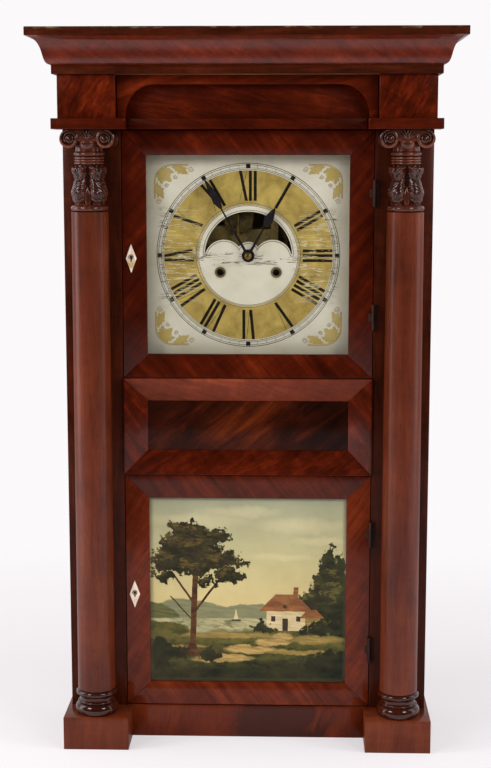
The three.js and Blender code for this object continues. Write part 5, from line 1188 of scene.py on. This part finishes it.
def wingOutline(grow, arcSteps=60, baseSteps=110):
    # Outline of the bat-wing opening as (x, z), moved outwards by grow
    s = dialSizes
    radius, horn = s["wing"] + grow, s["horn"] - grow
    start = math.asin(horn / radius)
    outline = []
    for step in range(arcSteps + 1):
        angle = start + (math.pi - 2 * start) * step / arcSteps
        outline.append((radius * math.cos(angle), radius * math.sin(angle)))
    half = radius * math.cos(start)
    for step in range(1, baseSteps):
        x = -half + 2 * half * step / baseSteps
        low = horn
        if abs(x) < s["lobeX"]:
            low = s["cusp"] - grow
        for centre, rise, size in ((s["lobeX"], s["lobeRise"], s["lobe"]), (-s["lobeX"], s["lobeRise"], s["lobe"]),
                                   (0, s["middleRise"], s["middle"])):
            across = abs(x - centre)
            reach = size - grow
            if across < reach:
                low = max(low, rise - size + math.sqrt(reach * reach - across * across))
        outline.append((x, low))
    return [(x, s["centreZ"] + z) for x, z in outline]


def crackMask(tree, across, up, width, often):
    # Long level cracks: out at the sides of the ring and in a band under the middle
    c = cracking
    path = cloud(tree, lay(tree, (0, 0, 0), (13, 1, 1)), 190, 4, 0.55, 0.2)
    line = sums(tree, "COMPARE", sums(tree, "FRACT", times(tree, path, often)), 0.5, width)
    wide, high = sizeOf(tree, across), sizeOf(tree, up)
    sides = times(tree, level(tree, wide, *c["sidesInner"]), level(tree, wide, *c["sidesOuter"]))
    sides = times(tree, sides, level(tree, high, *c["sidesHigh"]))
    dropped = sizeOf(tree, sums(tree, "ADD", up, c["bandDrop"]))
    band = times(tree, level(tree, dropped, *c["bandHigh"]), level(tree, wide, *c["bandWide"]))
    patchy = level(tree, cloud(tree, lay(tree), 55, 2, 0.5), *c["patches"])
    zone = times(tree, sums(tree, "MAXIMUM", sides, band), patchy)
    onFace = sums(tree, "LESS_THAN", placeOf(tree)["Y"], (dialSizes["front"] + c["depth"]) * mm)
    return times(tree, line, times(tree, zone, onFace))


def dialPlaces(tree):
    # Millimetres across and up from the dial's middle
    place = placeOf(tree)
    return times(tree, place["X"], 1 / mm), sums(tree, "MULTIPLY_ADD", place["Z"], 1 / mm, -dialSizes["centreZ"])


def dialPaintFinish():
    s, w = dialSizes, dialMarks
    material, tree, shader = newFinish("dial_paint")
    across, up = dialPlaces(tree)
    age = cloud(tree, lay(tree), 22, 5, 0.6)
    speck = cloud(tree, lay(tree), 700, 3, 0.6)
    tone = ramp(tree, sums(tree, "MULTIPLY_ADD", speck, 0.15, times(tree, age, 0.85)),
                [(0.28, (208, 202, 174)), (0.48, (224, 219, 196)), (0.72, (234, 230, 210))])
    # darker towards the edges of the board
    rim = sums(tree, "MAXIMUM", level(tree, sizeOf(tree, across), *w["edgeDarkWide"]),
               level(tree, sizeOf(tree, up), *w["edgeDarkHigh"]))
    tone = blendTones(tree, times(tree, rim, w["edgeDarkShare"]), tone, w["edgeDarkTone"])
    away = distance(tree, minus(tree, sizeOf(tree, across), s["windX"]), minus(tree, up, s["windZ"] - s["centreZ"]))
    tone = blendTones(tree, level(tree, away, *w["keyRub"], 0, w["keyRubShare"]), tone, w["keyRubTone"])
    tone = blendTones(tree, level(tree, away, *w["keyGrime"]), tone, w["keyGrimeTone"])
    cracks = crackMask(tree, across, up, 0.10, 8.0)
    tone = blendTones(tree, cracks, tone, w["crackTone"])
    tree.links.new(tone, shader.inputs["Base Color"])
    polish(shader, 0.55, 0.0, 0.3, 0.3)
    relief = bumpOf(tree, minus(tree, age, cracks), 0.0003, 0.5)
    tree.links.new(relief, shader.inputs["Normal"])
    return material


def goldFinish(name, bright, dull, crackTone, metallic):
    material, tree, shader = newFinish(name)
    across, up = dialPlaces(tree)
    worn = cloud(tree, lay(tree), 48, 6, 0.62, 0.3)
    speck = cloud(tree, lay(tree), 900, 3, 0.6)
    share = level(tree, sums(tree, "MULTIPLY_ADD", speck, 0.25, times(tree, worn, 0.8)), 0.36, 0.70)
    tone = blendTones(tree, share, linear(dull), bright)
    cracks = crackMask(tree, across, up, 0.06, 5.0)
    tone = blendTones(tree, times(tree, cracks, 0.8), tone, crackTone)
    tree.links.new(tone, shader.inputs["Base Color"])
    shader.inputs["Metallic"].default_value = metallic
    polish(shader, 0.46, 0.0, 0.3, 0.4)
    tree.links.new(bumpOf(tree, minus(tree, worn, cracks), 0.0002, 0.5), shader.inputs["Normal"])
    return material


def inkFinish():
    material, tree, shader = newFinish("dial_ink")
    across, up = dialPlaces(tree)
    thin = cloud(tree, lay(tree), 500, 4, 0.6)
    tone = ramp(tree, thin, [(0.3, (16, 12, 9)), (0.55, (30, 23, 16)), (0.8, (58, 46, 30))])
    cracks = crackMask(tree, across, up, 0.11, 5.0)
    tone = blendTones(tree, cracks, tone, (196, 184, 140))
    tree.links.new(tone, shader.inputs["Base Color"])
    polish(shader, 0.4, 0.0, 0.3, 0.3)
    tree.links.new(bumpOf(tree, thin, 0.00005, 0.5), shader.inputs["Normal"])
    return material


def addFlatRing(bm, inner, outer, front, back, steps=160):
    z = dialSizes["centreZ"]
    turnThrough(bm, [(inner, back), (inner, front), (outer, front), (outer, back), (inner, back)], 0, z, steps)


def addStroke(bm, turn, foot, head, width, front, back, inner, outer):
    # One stroke of a numeral, from (foot, inner) to (head, outer), turned to its hour
    z = dialSizes["centreZ"]
    verts = bmesh.ops.create_cube(bm, size=1)["verts"]
    for vert in verts:
        share = vert.co.z + 0.5
        side = foot + (head - foot) * share + vert.co.x * width
        vert.co = Vector((side, back if vert.co.y > 0 else front, inner + (outer - inner) * share)) * mm
    bmesh.ops.rotate(bm, cent=(0, 0, 0), matrix=Matrix.Rotation(turn, 3, "Y"), verts=verts)
    bmesh.ops.translate(bm, vec=Vector((0, 0, z)) * mm, verts=verts)


def addNumeral(bm, word, turn, front, back):
    s = dialSizes
    place = -sum(letters[letter]["width"] for letter in word) / 2
    for letter in word:
        middle = place + letters[letter]["width"] / 2
        place += letters[letter]["width"]
        for foot, head, weight, backwards in letters[letter]["strokes"]:
            addStroke(bm, turn, middle + foot, middle + head, s[weight], front + backwards, back,
                      s["numeralInner"], s["numeralOuter"])


def dialCutter():
    # The bat-wing opening and the three round holes, as one solid
    s = dialSizes
    bm = bmesh.new()
    front, back = s["front"] - s["cutterProud"], s["back"] + s["cutterProud"]
    addSlab(bm, [(x, front, up) for x, up in wingOutline(0)], (0, s["cutterDepth"], 0))
    bmesh.ops.recalc_face_normals(bm, faces=bm.faces)
    holes = [(0, s["centreZ"], s["centreHole"])]
    holes += [(hand * s["windX"], s["windZ"], s["windHole"]) for hand in (1, -1)]
    for x, up, radius in holes:
        turnThrough(bm, [(0, front), (radius, front), (radius, back), (0, back)], x, up, 40)
    bmesh.ops.remove_doubles(bm, verts=bm.verts, dist=1e-7)
    bmesh.ops.recalc_face_normals(bm, faces=bm.faces)
    shape = bpy.data.meshes.new("dial_cutter")
    bm.to_mesh(shape)
    bm.free()
    cutter = bpy.data.objects.new("dial_cutter", shape)
    scene.collection.objects.link(cutter)
    return cutter


def makeDialBoard():
    s = dialSizes
    bm = bmesh.new()
    z = s["centreZ"]
    addBlock(bm, (-s["halfWidth"], s["front"], z - s["halfHeight"]),
             (s["halfWidth"], s["back"], z + s["halfHeight"]))
    soften(bm, s["edge"], 2)
    board = finishPiece(bm, "dial_board", dialPaint, caseBody, ["dial"])
    cutter = dialCutter()
    cut = board.modifiers.new("openings", "BOOLEAN")
    cut.operation, cut.solver, cut.object = "DIFFERENCE", "EXACT", cutter
    bpy.context.view_layer.update()
    carved = bpy.data.meshes.new_from_object(board.evaluated_get(bpy.context.evaluated_depsgraph_get()))
    board.modifiers.clear()
    board.data = carved
    board.data.materials.clear()
    board.data.materials.append(dialPaint)
    board.data.materials.append(finishes["pineUpright"])
    for polygon in board.data.polygons:
        polygon.material_index = 1 if polygon.normal.y > 0.5 else 0
    bpy.data.objects.remove(cutter)


def paintedTo(coat):
    # Where the front of a coat of paint lies
    return dialSizes["front"] - dialSizes["coats"][coat] * dialSizes["layer"]


def makeDialPaint():
    s = dialSizes
    face, back = s["front"], s["front"] + s["paintDepth"]
    bm = bmesh.new()
    addFlatRing(bm, s["goldInner"], s["goldOuter"], paintedTo("gold"), back)
    finishPiece(bm, "dial_gold_ring", goldLeaf, caseBody)

    bm = bmesh.new()
    for number, word in enumerate(numerals):
        addNumeral(bm, word, math.radians(30 * number), paintedTo("numerals"), face)
    half = s["markerSize"] / 2
    for number in range(len(numerals)):
        addStroke(bm, math.radians(30 * number), 0, 0, s["markerSize"], paintedTo("markers"), face,
                  s["markerRadius"] - half, s["markerRadius"] + half)
    finishPiece(bm, "dial_numerals", ink, caseBody)

    bm = bmesh.new()
    for radius, width in s["lines"]:
        addFlatRing(bm, radius - width / 2, radius + width / 2, paintedTo("lines"), back)
    width, inner, outer = s["tick"]
    for number in range(s["ticks"]):
        addStroke(bm, 2 * math.pi * number / s["ticks"], 0, 0, width, paintedTo("ticks"), face, inner, outer)
    finishPiece(bm, "dial_minute_track", thinInk, caseBody)

    bm = bmesh.new()
    addFlatRing(bm, *s["goldLine"], paintedTo("goldLine"), back)
    finishPiece(bm, "dial_inner_gold_line", goldLeaf, caseBody)


def makeOpeningEdges():
    # The dark line and the row of beads round the bat-wing opening, and the rims of the winding holes
    s = dialSizes
    face = s["front"]
    tube("dial_wing_line", [(x, face, z) for x, z in wingOutline(s["wingGap"])], s["wingLine"], thinInk, caseBody,
         closed=True)
    bm = bmesh.new()
    edge = wingOutline(s["wingGap"], 90, 90)
    travelled = 0.0
    for first, second in zip(edge, edge[1:] + edge[:1]):
        travelled += math.dist(first, second)
        if travelled > s["beadGap"]:
            travelled = 0.0
            made = bmesh.ops.create_icosphere(bm, subdivisions=1, radius=1)["verts"]
            bmesh.ops.scale(bm, vec=Vector(s["bead"]) * mm, verts=made)
            bmesh.ops.translate(bm, vec=Vector((second[0], face - s["beadProud"], second[1])) * mm, verts=made)
    finishPiece(bm, "dial_wing_beads", goldEdge, caseBody, smooth=70)
    for number, hand in enumerate((1, -1)):
        bm = bmesh.new()
        turnThrough(bm, [(s["windHole"] + out, face + behind) for out, behind in s["rim"]],
                    hand * s["windX"], s["windZ"], 48)
        finishPiece(bm, "winding_hole_rim_%d" % number, rimPaint, caseBody, smooth=70)


cornerSizes = {
    "edgeX": 110.0, "edgeZ": 106.0, "outlineWidth": 0.25,
    "leafCoats": 1.8, "leafStep": 0.05, "leafDepth": 0.02,
    "leaves": [  # root along the top and down the side, length, half width, lean in degrees off the top, lobes
        (8, 8, 19, 6.4, 45, 4.5), (11, 7, 14, 3.4, 16, 3.5), (7, 11, 14, 3.4, 74, 3.5), (25, 4, 14, 3.6, 38, 3.5),
        (4, 25, 14, 3.6, 52, 3.5), (32, 4, 12, 3.0, 50, 2.5), (4, 32, 12, 3.0, 40, 2.5), (22, 5, 18, 2.4, 4, 4.5),
        (5, 22, 18, 2.4, 86, 4.5),
    ],
    "ropes": [(22, 19.5, 40)],  # centre, radius and far end of each beaded arc
    "ropeBead": 1.0, "ropePitch": 2.5, "beadProud": 0.3, "beadEdge": 1.45, "beadEdgeProud": 0.12,
    "scrolls": [(44, 7, 3.4, 1), (7, 44, 3.4, -1), (26, 16, 2.6, 1), (16, 26, 2.6, -1)],
    "scrollSteps": 30, "scrollTurn": 0.36, "scrollShrink": 36, "scrollLine": 0.3,
    "berries": [(20, 13), (13, 20), (30, 12), (12, 30), (40, 12), (12, 40)], "berry": 0.9,
}


def leafOutline(length, half, lobes, grow, steps=18):
    # A serrated leaf lying along X from 0 to length
    points = []
    for step in range(1, steps):
        share = step / steps
        bulge = math.sin(math.pi * share ** 0.8) ** 0.9 * (0.82 + 0.26 * math.cos(2 * math.pi * lobes * share))
        points.append((length * share, half * bulge + grow))
    return [(-grow, 0)] + points + [(length + grow, 0)] + [(x, -w) for x, w in reversed(points)]


def inCorner(hands, along, down, proud=0.0):
    # A point of the dial's face, measured inwards from the corner that hands names
    s, c = dialSizes, cornerSizes
    return (hands[0] * (c["edgeX"] - along), s["front"] - proud, s["centreZ"] + hands[1] * (c["edgeZ"] - down))


def addSpray(shapes, hands):
    # The leaves of one corner, each on its darker outline
    c, layer = cornerSizes, dialSizes["layer"]
    for number, (along, down, length, half, lean, lobes) in enumerate(c["leaves"]):
        cos, sin = math.cos(math.radians(lean)), math.sin(math.radians(lean))
        for key, grow, coats in (("edge", c["outlineWidth"], 1), ("leaf", 0, c["leafCoats"])):
            rise = layer * (coats + c["leafStep"] * number)
            outline = [inCorner(hands, along + px * cos - pw * sin, down + px * sin + pw * cos, rise)
                       for px, pw in leafOutline(length, half, lobes, grow)]
            addSlab(shapes[key], outline, (0, rise + c["leafDepth"], 0))


def scrollPaths(hands):
    c = cornerSizes
    paths = []
    for along, down, size, way in c["scrolls"]:
        path = []
        for step in range(c["scrollSteps"]):
            angle = c["scrollTurn"] * step * way
            reach = size * (1 - step / c["scrollShrink"])
            path.append(inCorner(hands, along + reach * math.cos(angle), down + reach * math.sin(angle)))
        paths.append(path)
    return paths


def beadSpots():
    # The berries, and the beads of the rope round its quarter circle and out along both edges
    c = cornerSizes
    beads = [(along, down, c["berry"]) for along, down in c["berries"]]
    for centre, radius, far in c["ropes"]:
        steps = int(math.pi / 2 * radius / c["ropePitch"])
        for step in range(steps + 1):
            angle = math.pi / 2 * step / steps
            beads.append((centre - radius * math.cos(angle), centre - radius * math.sin(angle), c["ropeBead"]))
        for step in range(1, int((far - centre) / c["ropePitch"]) + 1):
            out = centre + step * c["ropePitch"]
            beads += [(out, centre - radius, c["ropeBead"]), (centre - radius, out, c["ropeBead"])]
    return beads


def makeCorners():
    # Gilded sprays, scrolls and beads in the four corners of the dial
    c = cornerSizes
    shapes = {"edge": bmesh.new(), "leaf": bmesh.new(), "bead": bmesh.new()}
    scrolls = []
    for hands in ((-1, 1), (1, 1), (-1, -1), (1, -1)):
        addSpray(shapes, hands)
        scrolls += scrollPaths(hands)
        for along, down, size in beadSpots():
            for key, wide, proud in (("edge", c["beadEdge"] * size, c["beadEdgeProud"]),
                                     ("bead", size, c["beadProud"])):
                made = bmesh.ops.create_icosphere(shapes[key], subdivisions=1, radius=1)["verts"]
                bmesh.ops.scale(shapes[key], vec=Vector((wide, proud, wide)) * mm, verts=made)
                bmesh.ops.translate(shapes[key], vec=Vector(inCorner(hands, along, down)) * mm, verts=made)
    finishPiece(shapes["edge"], "dial_corner_outlines", goldEdge, caseBody)
    finishPiece(shapes["leaf"], "dial_corner_leaves", paleGold, caseBody)
    finishPiece(shapes["bead"], "dial_corner_beads", brightGold, caseBody, smooth=70)
    for number, path in enumerate(scrolls):
        tube("dial_corner_scroll_%d" % number, path, c["scrollLine"], goldEdge, caseBody)


dialPaint = dialPaintFinish()
goldLeaf = goldFinish("gold_ring", (218, 190, 100), (152, 128, 58), (232, 224, 194), 0.15)
paleGold = goldFinish("gold_sprays", (186, 158, 74), (200, 182, 118), (222, 214, 184), 0.05)
brightGold = goldFinish("gold_beads", (240, 220, 140), (214, 184, 96), (222, 214, 184), 0.1)
ink = inkFinish()
goldEdge = goldFinish("gold_edges", (172, 142, 72), (136, 108, 50), (200, 188, 156), 0.05)
thinInk = metalFinish("track_ink", (30, 26, 22), (74, 68, 56), 0.3, 0.5, metallic=0.0)
rimPaint = metalFinish("winding_rim", (128, 116, 90), (84, 72, 52), 0.4, 0.45, metallic=0.2)
makeDialBoard()
makeDialPaint()
makeOpeningEdges()
makeCorners()
print("dial done")


# The painted picture on the glass of the lower door

tabletSizes = {
    "bottomZ": 67.8, "height": 223.9, "edge": 0.2,
    "horizon": 80,  # the sky's ramp starts at this height above the lower edge
    "edgeDarkWide": (111.5, 116), "edgeDarkHigh": (107.5, 112),  # where the darkening along the edge begins and is full, from the middle
}
tabletTones = {  # dark and light of each painted mass
    "farHill": ((112, 114, 84), (132, 130, 94)), "nearHill": ((76, 80, 46), (102, 100, 58)),
    "lake": ((138, 136, 100), (180, 170, 124)), "ripple": ((98, 98, 68), (126, 122, 84)),
    "meadow": ((60, 62, 28), (98, 90, 42)), "sunGrass": ((122, 104, 52), (156, 130, 70)),
    "grove": ((20, 26, 14), (46, 50, 25)), "wall": ((182, 162, 116), (206, 188, 144)),
    "thatch": ((112, 66, 38), (146, 94, 54)), "dark": ((40, 32, 26), (58, 48, 38)),
    "path": ((142, 116, 64), (180, 150, 90)), "lawn": ((36, 44, 20), (74, 72, 32)),
    "shade": ((15, 20, 12), (36, 40, 20)), "trunk": ((50, 27, 14), (92, 54, 28)),
    "crown": ((15, 19, 10), (42, 40, 20)), "lit": ((52, 47, 21), (92, 76, 36)),
}
tabletMasses = {  # ovals in mm from the middle of the lower edge: x, z, half width, half height
    "clouds": [(-58, 196, 50, 8), (-10, 206, 38, 6), (64, 190, 44, 8), (84, 172, 28, 4), (40, 152, 34, 4)],
    "farHills": [(-74, 70, 62, 30), (14, 70, 60, 25)], "nearHills": [(96, 64, 74, 40), (-120, 64, 44, 34)],
    "meadows": [(96, 60, 84, 22), (-112, 62, 44, 12)],
    "grove": [(84, 96, 18, 24), (104, 108, 17, 34), (66, 92, 15, 16), (97, 134, 8, 34), (110, 128, 7, 30),
              (86, 122, 6, 27), (114, 86, 12, 26)],
    "groveLight": [(80, 110, 9, 12), (100, 122, 7, 26), (64, 98, 8, 7)],
    "gardenBushes": [(14, 66, 10, 7), (27, 61, 7, 5), (66, 62, 9, 6), (88, 64, 12, 9), (106, 66, 13, 13)],
    "farSun": [(84, 52, 34, 5), (-20, 56, 60, 4)], "nearSun": [(60, 36, 42, 3), (-78, 42, 30, 2.4)],
    "path": [(42, 56, 11, 4), (30, 48, 20, 4.4), (2, 39, 30, 5), (-30, 28, 36, 5.4)],
    "foreBushes": [(100, 24, 26, 15), (72, 15, 20, 9), (4, 13, 15, 8), (-106, 34, 18, 20), (40, 9, 18, 6)],
    "crown": [(-68, 164, 32, 17), (-94, 146, 18, 13), (-36, 150, 24, 13), (-70, 184, 23, 12), (-100, 126, 13, 8),
              (-22, 130, 17, 8), (-64, 138, 24, 10), (-90, 170, 15, 10), (-40, 174, 18, 10), (-8, 146, 11, 6),
              (-50, 122, 12, 6)],
    "footBushes": [(-86, 36, 18, 9), (-44, 33, 14, 7)],
}
tabletBoughs = [  # x and z of the foot, lean, half width, z of the head
    (-66, 30, 0.04, 3.4, 150), (-64, 84, 0.75, 1.7, 128), (-64, 96, -0.7, 1.5, 134), (-63, 72, -0.9, 1.1, 104),
]
tabletOblongs = {  # left, right, bottom, top
    "boat": (-19.5, -8.5, 73.8, 75.8), "wall": (22, 68, 62, 88), "leanTo": (68, 86, 62, 79),
    "chimney": (54, 60, 100, 116), "door": (41, 47.5, 62, 77),
    "windows": [(27.5, 32.5, 73.8, 80.2), (57.5, 62.5, 73.8, 80.2), (75, 79, 68.8, 73.2), (41.8, 46.2, 89.8, 94.2)],
}
tabletGables = {  # middle, bottom, half width and height
    "sail": (-14, 75.6, 2.8, 14), "roof": (45, 86, 32, 34), "leanToRoof": (76, 78, 15, 16),
    "trunkFoot": (-66, 30, 11, 26),
}


def shaken(tree, place, scale, amount, detail):
    # Moves a place about by noise, which makes the brush's ragged edges
    plain = addNode(tree, "TexCoord").outputs["Object"]
    shake = addNode(tree, "TexNoise", {"Vector": plain, "Scale": scale, "Detail": detail, "Roughness": 0.6})
    centred = addNode(tree, "VectorMath", {0: shake.outputs["Color"], 1: (0.5,) * 3}, operation="SUBTRACT").outputs[0]
    return addNode(tree, "VectorMath", {0: centred, 1: (amount,) * 3, 2: place}, operation="MULTIPLY_ADD").outputs[0]


def onTablet(tree, place):
    # Millimetres across and up from the middle of the lower edge
    split = addNode(tree, "SeparateXYZ", {0: place}).outputs
    return (times(tree, split["X"], 1 / mm), sums(tree, "MULTIPLY_ADD", split["Z"], 1 / mm, -tabletSizes["bottomZ"]))


def oval(tree, place, x, z, wide, high, edge):
    across = sums(tree, "MULTIPLY_ADD", place[0], 1 / wide, -x / wide)
    up = sums(tree, "MULTIPLY_ADD", place[1], 1 / high, -z / high)
    return level(tree, sums(tree, "MULTIPLY_ADD", across, across, times(tree, up, up)), 1 + edge, 1 - edge)


def span(tree, value, low, high):
    # 1 where value lies between low and high
    return sums(tree, "LESS_THAN", sizeOf(tree, minus(tree, value, (low + high) / 2)), (high - low) / 2)


def oblong(tree, place, left, right, bottom, top):
    return times(tree, span(tree, place[0], left, right), span(tree, place[1], bottom, top))


def gable(tree, place, x, z, half, high):
    slope = sums(tree, "MULTIPLY_ADD", sizeOf(tree, minus(tree, place[0], x)), high / half, minus(tree, place[1], z))
    return times(tree, sums(tree, "LESS_THAN", slope, high), sums(tree, "GREATER_THAN", place[1], z))


def bough(tree, place, x, low, lean, half, high):
    side = sums(tree, "MULTIPLY_ADD", minus(tree, place[1], low), -lean, minus(tree, place[0], x))
    return times(tree, sums(tree, "LESS_THAN", sizeOf(tree, side), half), span(tree, place[1], low, high))


def below(tree, place, height, edge, slope=0.0):
    return level(tree, sums(tree, "MULTIPLY_ADD", place[0], -slope, place[1]), height + edge, height - edge)


def union(tree, masks):
    whole = masks[0]
    for mask in masks[1:]:
        whole = sums(tree, "MAXIMUM", whole, mask)
    return whole


def ovals(tree, place, rows, edge):
    return union(tree, [oval(tree, place, *row, edge) for row in rows])


def landscapeFinish():
    # A lake between low hills, an oak, a thatched cottage before a grove, and a boat, in old oil colours
    material, tree, shader = newFinish("painted_tablet")
    t, masses, oblongs, gables = tabletSizes, tabletMasses, tabletOblongs, tabletGables
    plain = addNode(tree, "TexCoord").outputs["Object"]
    crisp = onTablet(tree, shaken(tree, plain, 60, 0.002, 2))
    soft = onTablet(tree, shaken(tree, plain, 45, 0.014, 4))
    leafy = onTablet(tree, shaken(tree, shaken(tree, plain, 75, 0.030, 2), 260, 0.016, 4))
    strokes = cloud(tree, lay(tree, (0, 6, 0), (9, 1, 1)), 420, 4, 0.6)
    patches = cloud(tree, lay(tree, (0, 3, 0), (2, 1, 1)), 120, 5, 0.65, 0.5)
    tone = ramp(tree, level(tree, soft[1], t["horizon"], t["height"]),
                [(0.0, (208, 186, 128)), (0.3, (192, 178, 126)), (0.62, (174, 168, 126)), (1.0, (146, 148, 122))])

    def paint(mask, name, mix=strokes):
        # Lays the two tones of name over what is painted so far, where the mask is
        nonlocal tone
        dark, light = tabletTones[name]
        tone = blendTones(tree, mask, tone, blendTones(tree, level(tree, mix, 0.38, 0.62), linear(dark), light))

    clouds = ovals(tree, soft, masses["clouds"], 0.9)
    tone = blendTones(tree, times(tree, clouds, 0.35), tone, (212, 198, 154))
    paint(ovals(tree, soft, masses["farHills"], 0.05), "farHill")
    paint(ovals(tree, soft, masses["nearHills"], 0.05), "nearHill")
    paint(below(tree, crisp, 77, 0.6), "lake")
    paint(times(tree, below(tree, crisp, 76, 2), level(tree, patches, 0.5, 0.6)), "ripple")
    paint(gable(tree, crisp, *gables["sail"]), "wall")
    paint(oblong(tree, crisp, *oblongs["boat"]), "dark")
    meadows = ovals(tree, soft, masses["meadows"], 0.1)
    paint(sums(tree, "MAXIMUM", below(tree, soft, 64, 3, 0.08), meadows), "meadow", patches)
    # grove and poplars behind the cottage
    paint(ovals(tree, leafy, masses["grove"], 0.1), "grove", patches)
    groveLight = ovals(tree, leafy, masses["groveLight"], 0.3)
    paint(times(tree, groveLight, level(tree, patches, 0.5, 0.58)), "meadow")
    # cottage with a lean-to, chimney, door and windows
    paint(oblong(tree, crisp, *oblongs["wall"]), "wall")
    paint(oblong(tree, crisp, *oblongs["leanTo"]), "sunGrass")
    paint(oblong(tree, crisp, *oblongs["chimney"]), "thatch")
    paint(times(tree, gable(tree, crisp, *gables["roof"]), below(tree, crisp, 107, 0.5)), "thatch", patches)
    paint(times(tree, gable(tree, crisp, *gables["leanToRoof"]), below(tree, crisp, 88, 0.5)), "thatch")
    paint(union(tree, [oblong(tree, crisp, *row) for row in oblongs["windows"] + [oblongs["door"]]]), "dark")
    paint(ovals(tree, leafy, masses["gardenBushes"], 0.15), "grove", patches)
    # path, lawn and the dark foreground
    paint(ovals(tree, soft, masses["farSun"], 0.5), "sunGrass")
    paint(below(tree, soft, 46, 4, -0.03), "lawn", patches)
    paint(ovals(tree, soft, masses["path"], 0.3), "path")
    paint(ovals(tree, soft, masses["nearSun"], 0.5), "sunGrass")
    paint(below(tree, soft, 20, 6, 0.05), "shade", patches)
    paint(ovals(tree, leafy, masses["foreBushes"], 0.2), "shade", patches)
    # the oak, its lit clumps and the bushes at its foot
    trunk = [bough(tree, crisp, *row) for row in tabletBoughs] + [gable(tree, crisp, *gables["trunkFoot"])]
    paint(union(tree, trunk), "trunk", patches)
    paint(ovals(tree, leafy, masses["crown"], 0.1), "crown", patches)
    clumps = [(x - 4, z + high * 0.4, wide * 0.62, high * 0.5) for x, z, wide, high in masses["crown"]]
    lit = ovals(tree, leafy, clumps, 0.25)
    paint(times(tree, lit, level(tree, patches, 0.46, 0.56)), "lit")
    paint(ovals(tree, leafy, masses["footBushes"], 0.2), "shade", patches)
    # old varnish, and darker along the edge
    age = cloud(tree, lay(tree), 14, 5, 0.6)
    tone = blendTones(tree, level(tree, age, 0.4, 0.75, 0.0, 0.25), tone, (106, 88, 54))
    fromMiddle = sizeOf(tree, minus(tree, crisp[1], t["height"] / 2))
    rim = sums(tree, "MAXIMUM", level(tree, sizeOf(tree, crisp[0]), *t["edgeDarkWide"]),
               level(tree, fromMiddle, *t["edgeDarkHigh"]))
    tone = blendTones(tree, times(tree, rim, 0.55), tone, (84, 78, 60))
    tree.links.new(tone, shader.inputs["Base Color"])
    polish(shader, 0.5, 0.25, 0.04, 0.03)
    tree.links.new(bumpOf(tree, strokes, 0.00006, 0.4), shader.inputs["Normal"])
    return material


def makeTablet():
    # The picture is on the front of the glass, and the back is plain old paint
    bm = nodeCopy("lower_door_tablet")
    soften(bm, tabletSizes["edge"], 1)
    bmesh.ops.recalc_face_normals(bm, faces=bm.faces)
    for face in bm.faces:
        face.material_index = 0 if face.normal.y < -0.9 else 1
    finishPiece(bm, "painted_tablet", [landscapeFinish(), dialPaint], "lower_door",
                ["lower_door_tablet"])


makeTablet()
print("tablet done")


# Cords

cordSizes = {
    "radius": 0.9, "strands": 3, "strandRadius": 0.48, "pitch": 6.0, "stepsPerTurn": 12,
    "x": 172.0, "y": 44.6, "lowZ": 291.6, "highZ": 797.7,
    "lift": 0.4,  # metres that the weight rises
}


def twistedStrands(name, hand):
    # Three strands laid round each other, from the hook of the weight up to the pulley
    c = cordSizes
    length = c["highZ"] - c["lowZ"]
    turns = length / c["pitch"]
    steps = int(turns * c["stepsPerTurn"])
    reach = c["radius"] - c["strandRadius"]
    bm = bmesh.new()
    for strand in range(c["strands"]):
        path = []
        for step in range(steps + 1):
            angle = 2 * math.pi * (strand / c["strands"] + turns * step / steps)
            path.append((hand * c["x"] + reach * math.cos(angle), c["y"] + reach * math.sin(angle),
                         c["lowZ"] + length * step / steps))
        bm.from_mesh(tubeMesh(name, path, c["strandRadius"]))
    return bm


def makeCords():
    for side, hand, joint in (("time", 1, "time_weight_lift"), ("strike", -1, "strike_weight_lift")):
        paintNode(side + "_cord_run", finishes["cord"])
        name = side + "_hanging_cord"
        cord = finishPiece(twistedStrands(name, hand), name, finishes["cord"], caseBody,
                           [side + "_weight_cord"], 80)
        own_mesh(cord)


# Inside: movement, pendulum, weights

for nodeName in ("centre_wheel", "second_wheel", "third_wheel", "time_great_wheel", "escape_wheel",
                 "minute_wheel", "pin_wheel", "strike_great_wheel", "time_drum", "strike_drum",
                 "time_pulley", "strike_pulley", "pendulum"):
    paintNode(nodeName, finishes["brass"])
for nodeName in ("movement_front_plate", "movement_back_plate"):
    paintNode(nodeName, finishes["plateBrass"])
for nodeName in ("verge", "strike_hammer"):
    paintNode(nodeName, finishes["steel"])
paintNode("bell", finishes["iron"])
for nodeName in ("time_weight", "strike_weight"):
    softenedNode(nodeName, finishes["iron"], 0.8, 2, 40)
for nodeName in ("minute_hand", "hour_hand"):
    softenedNode(nodeName, finishes["bluedSteel"], 0.12, 1, 40)
makeCords()
print("inside done")
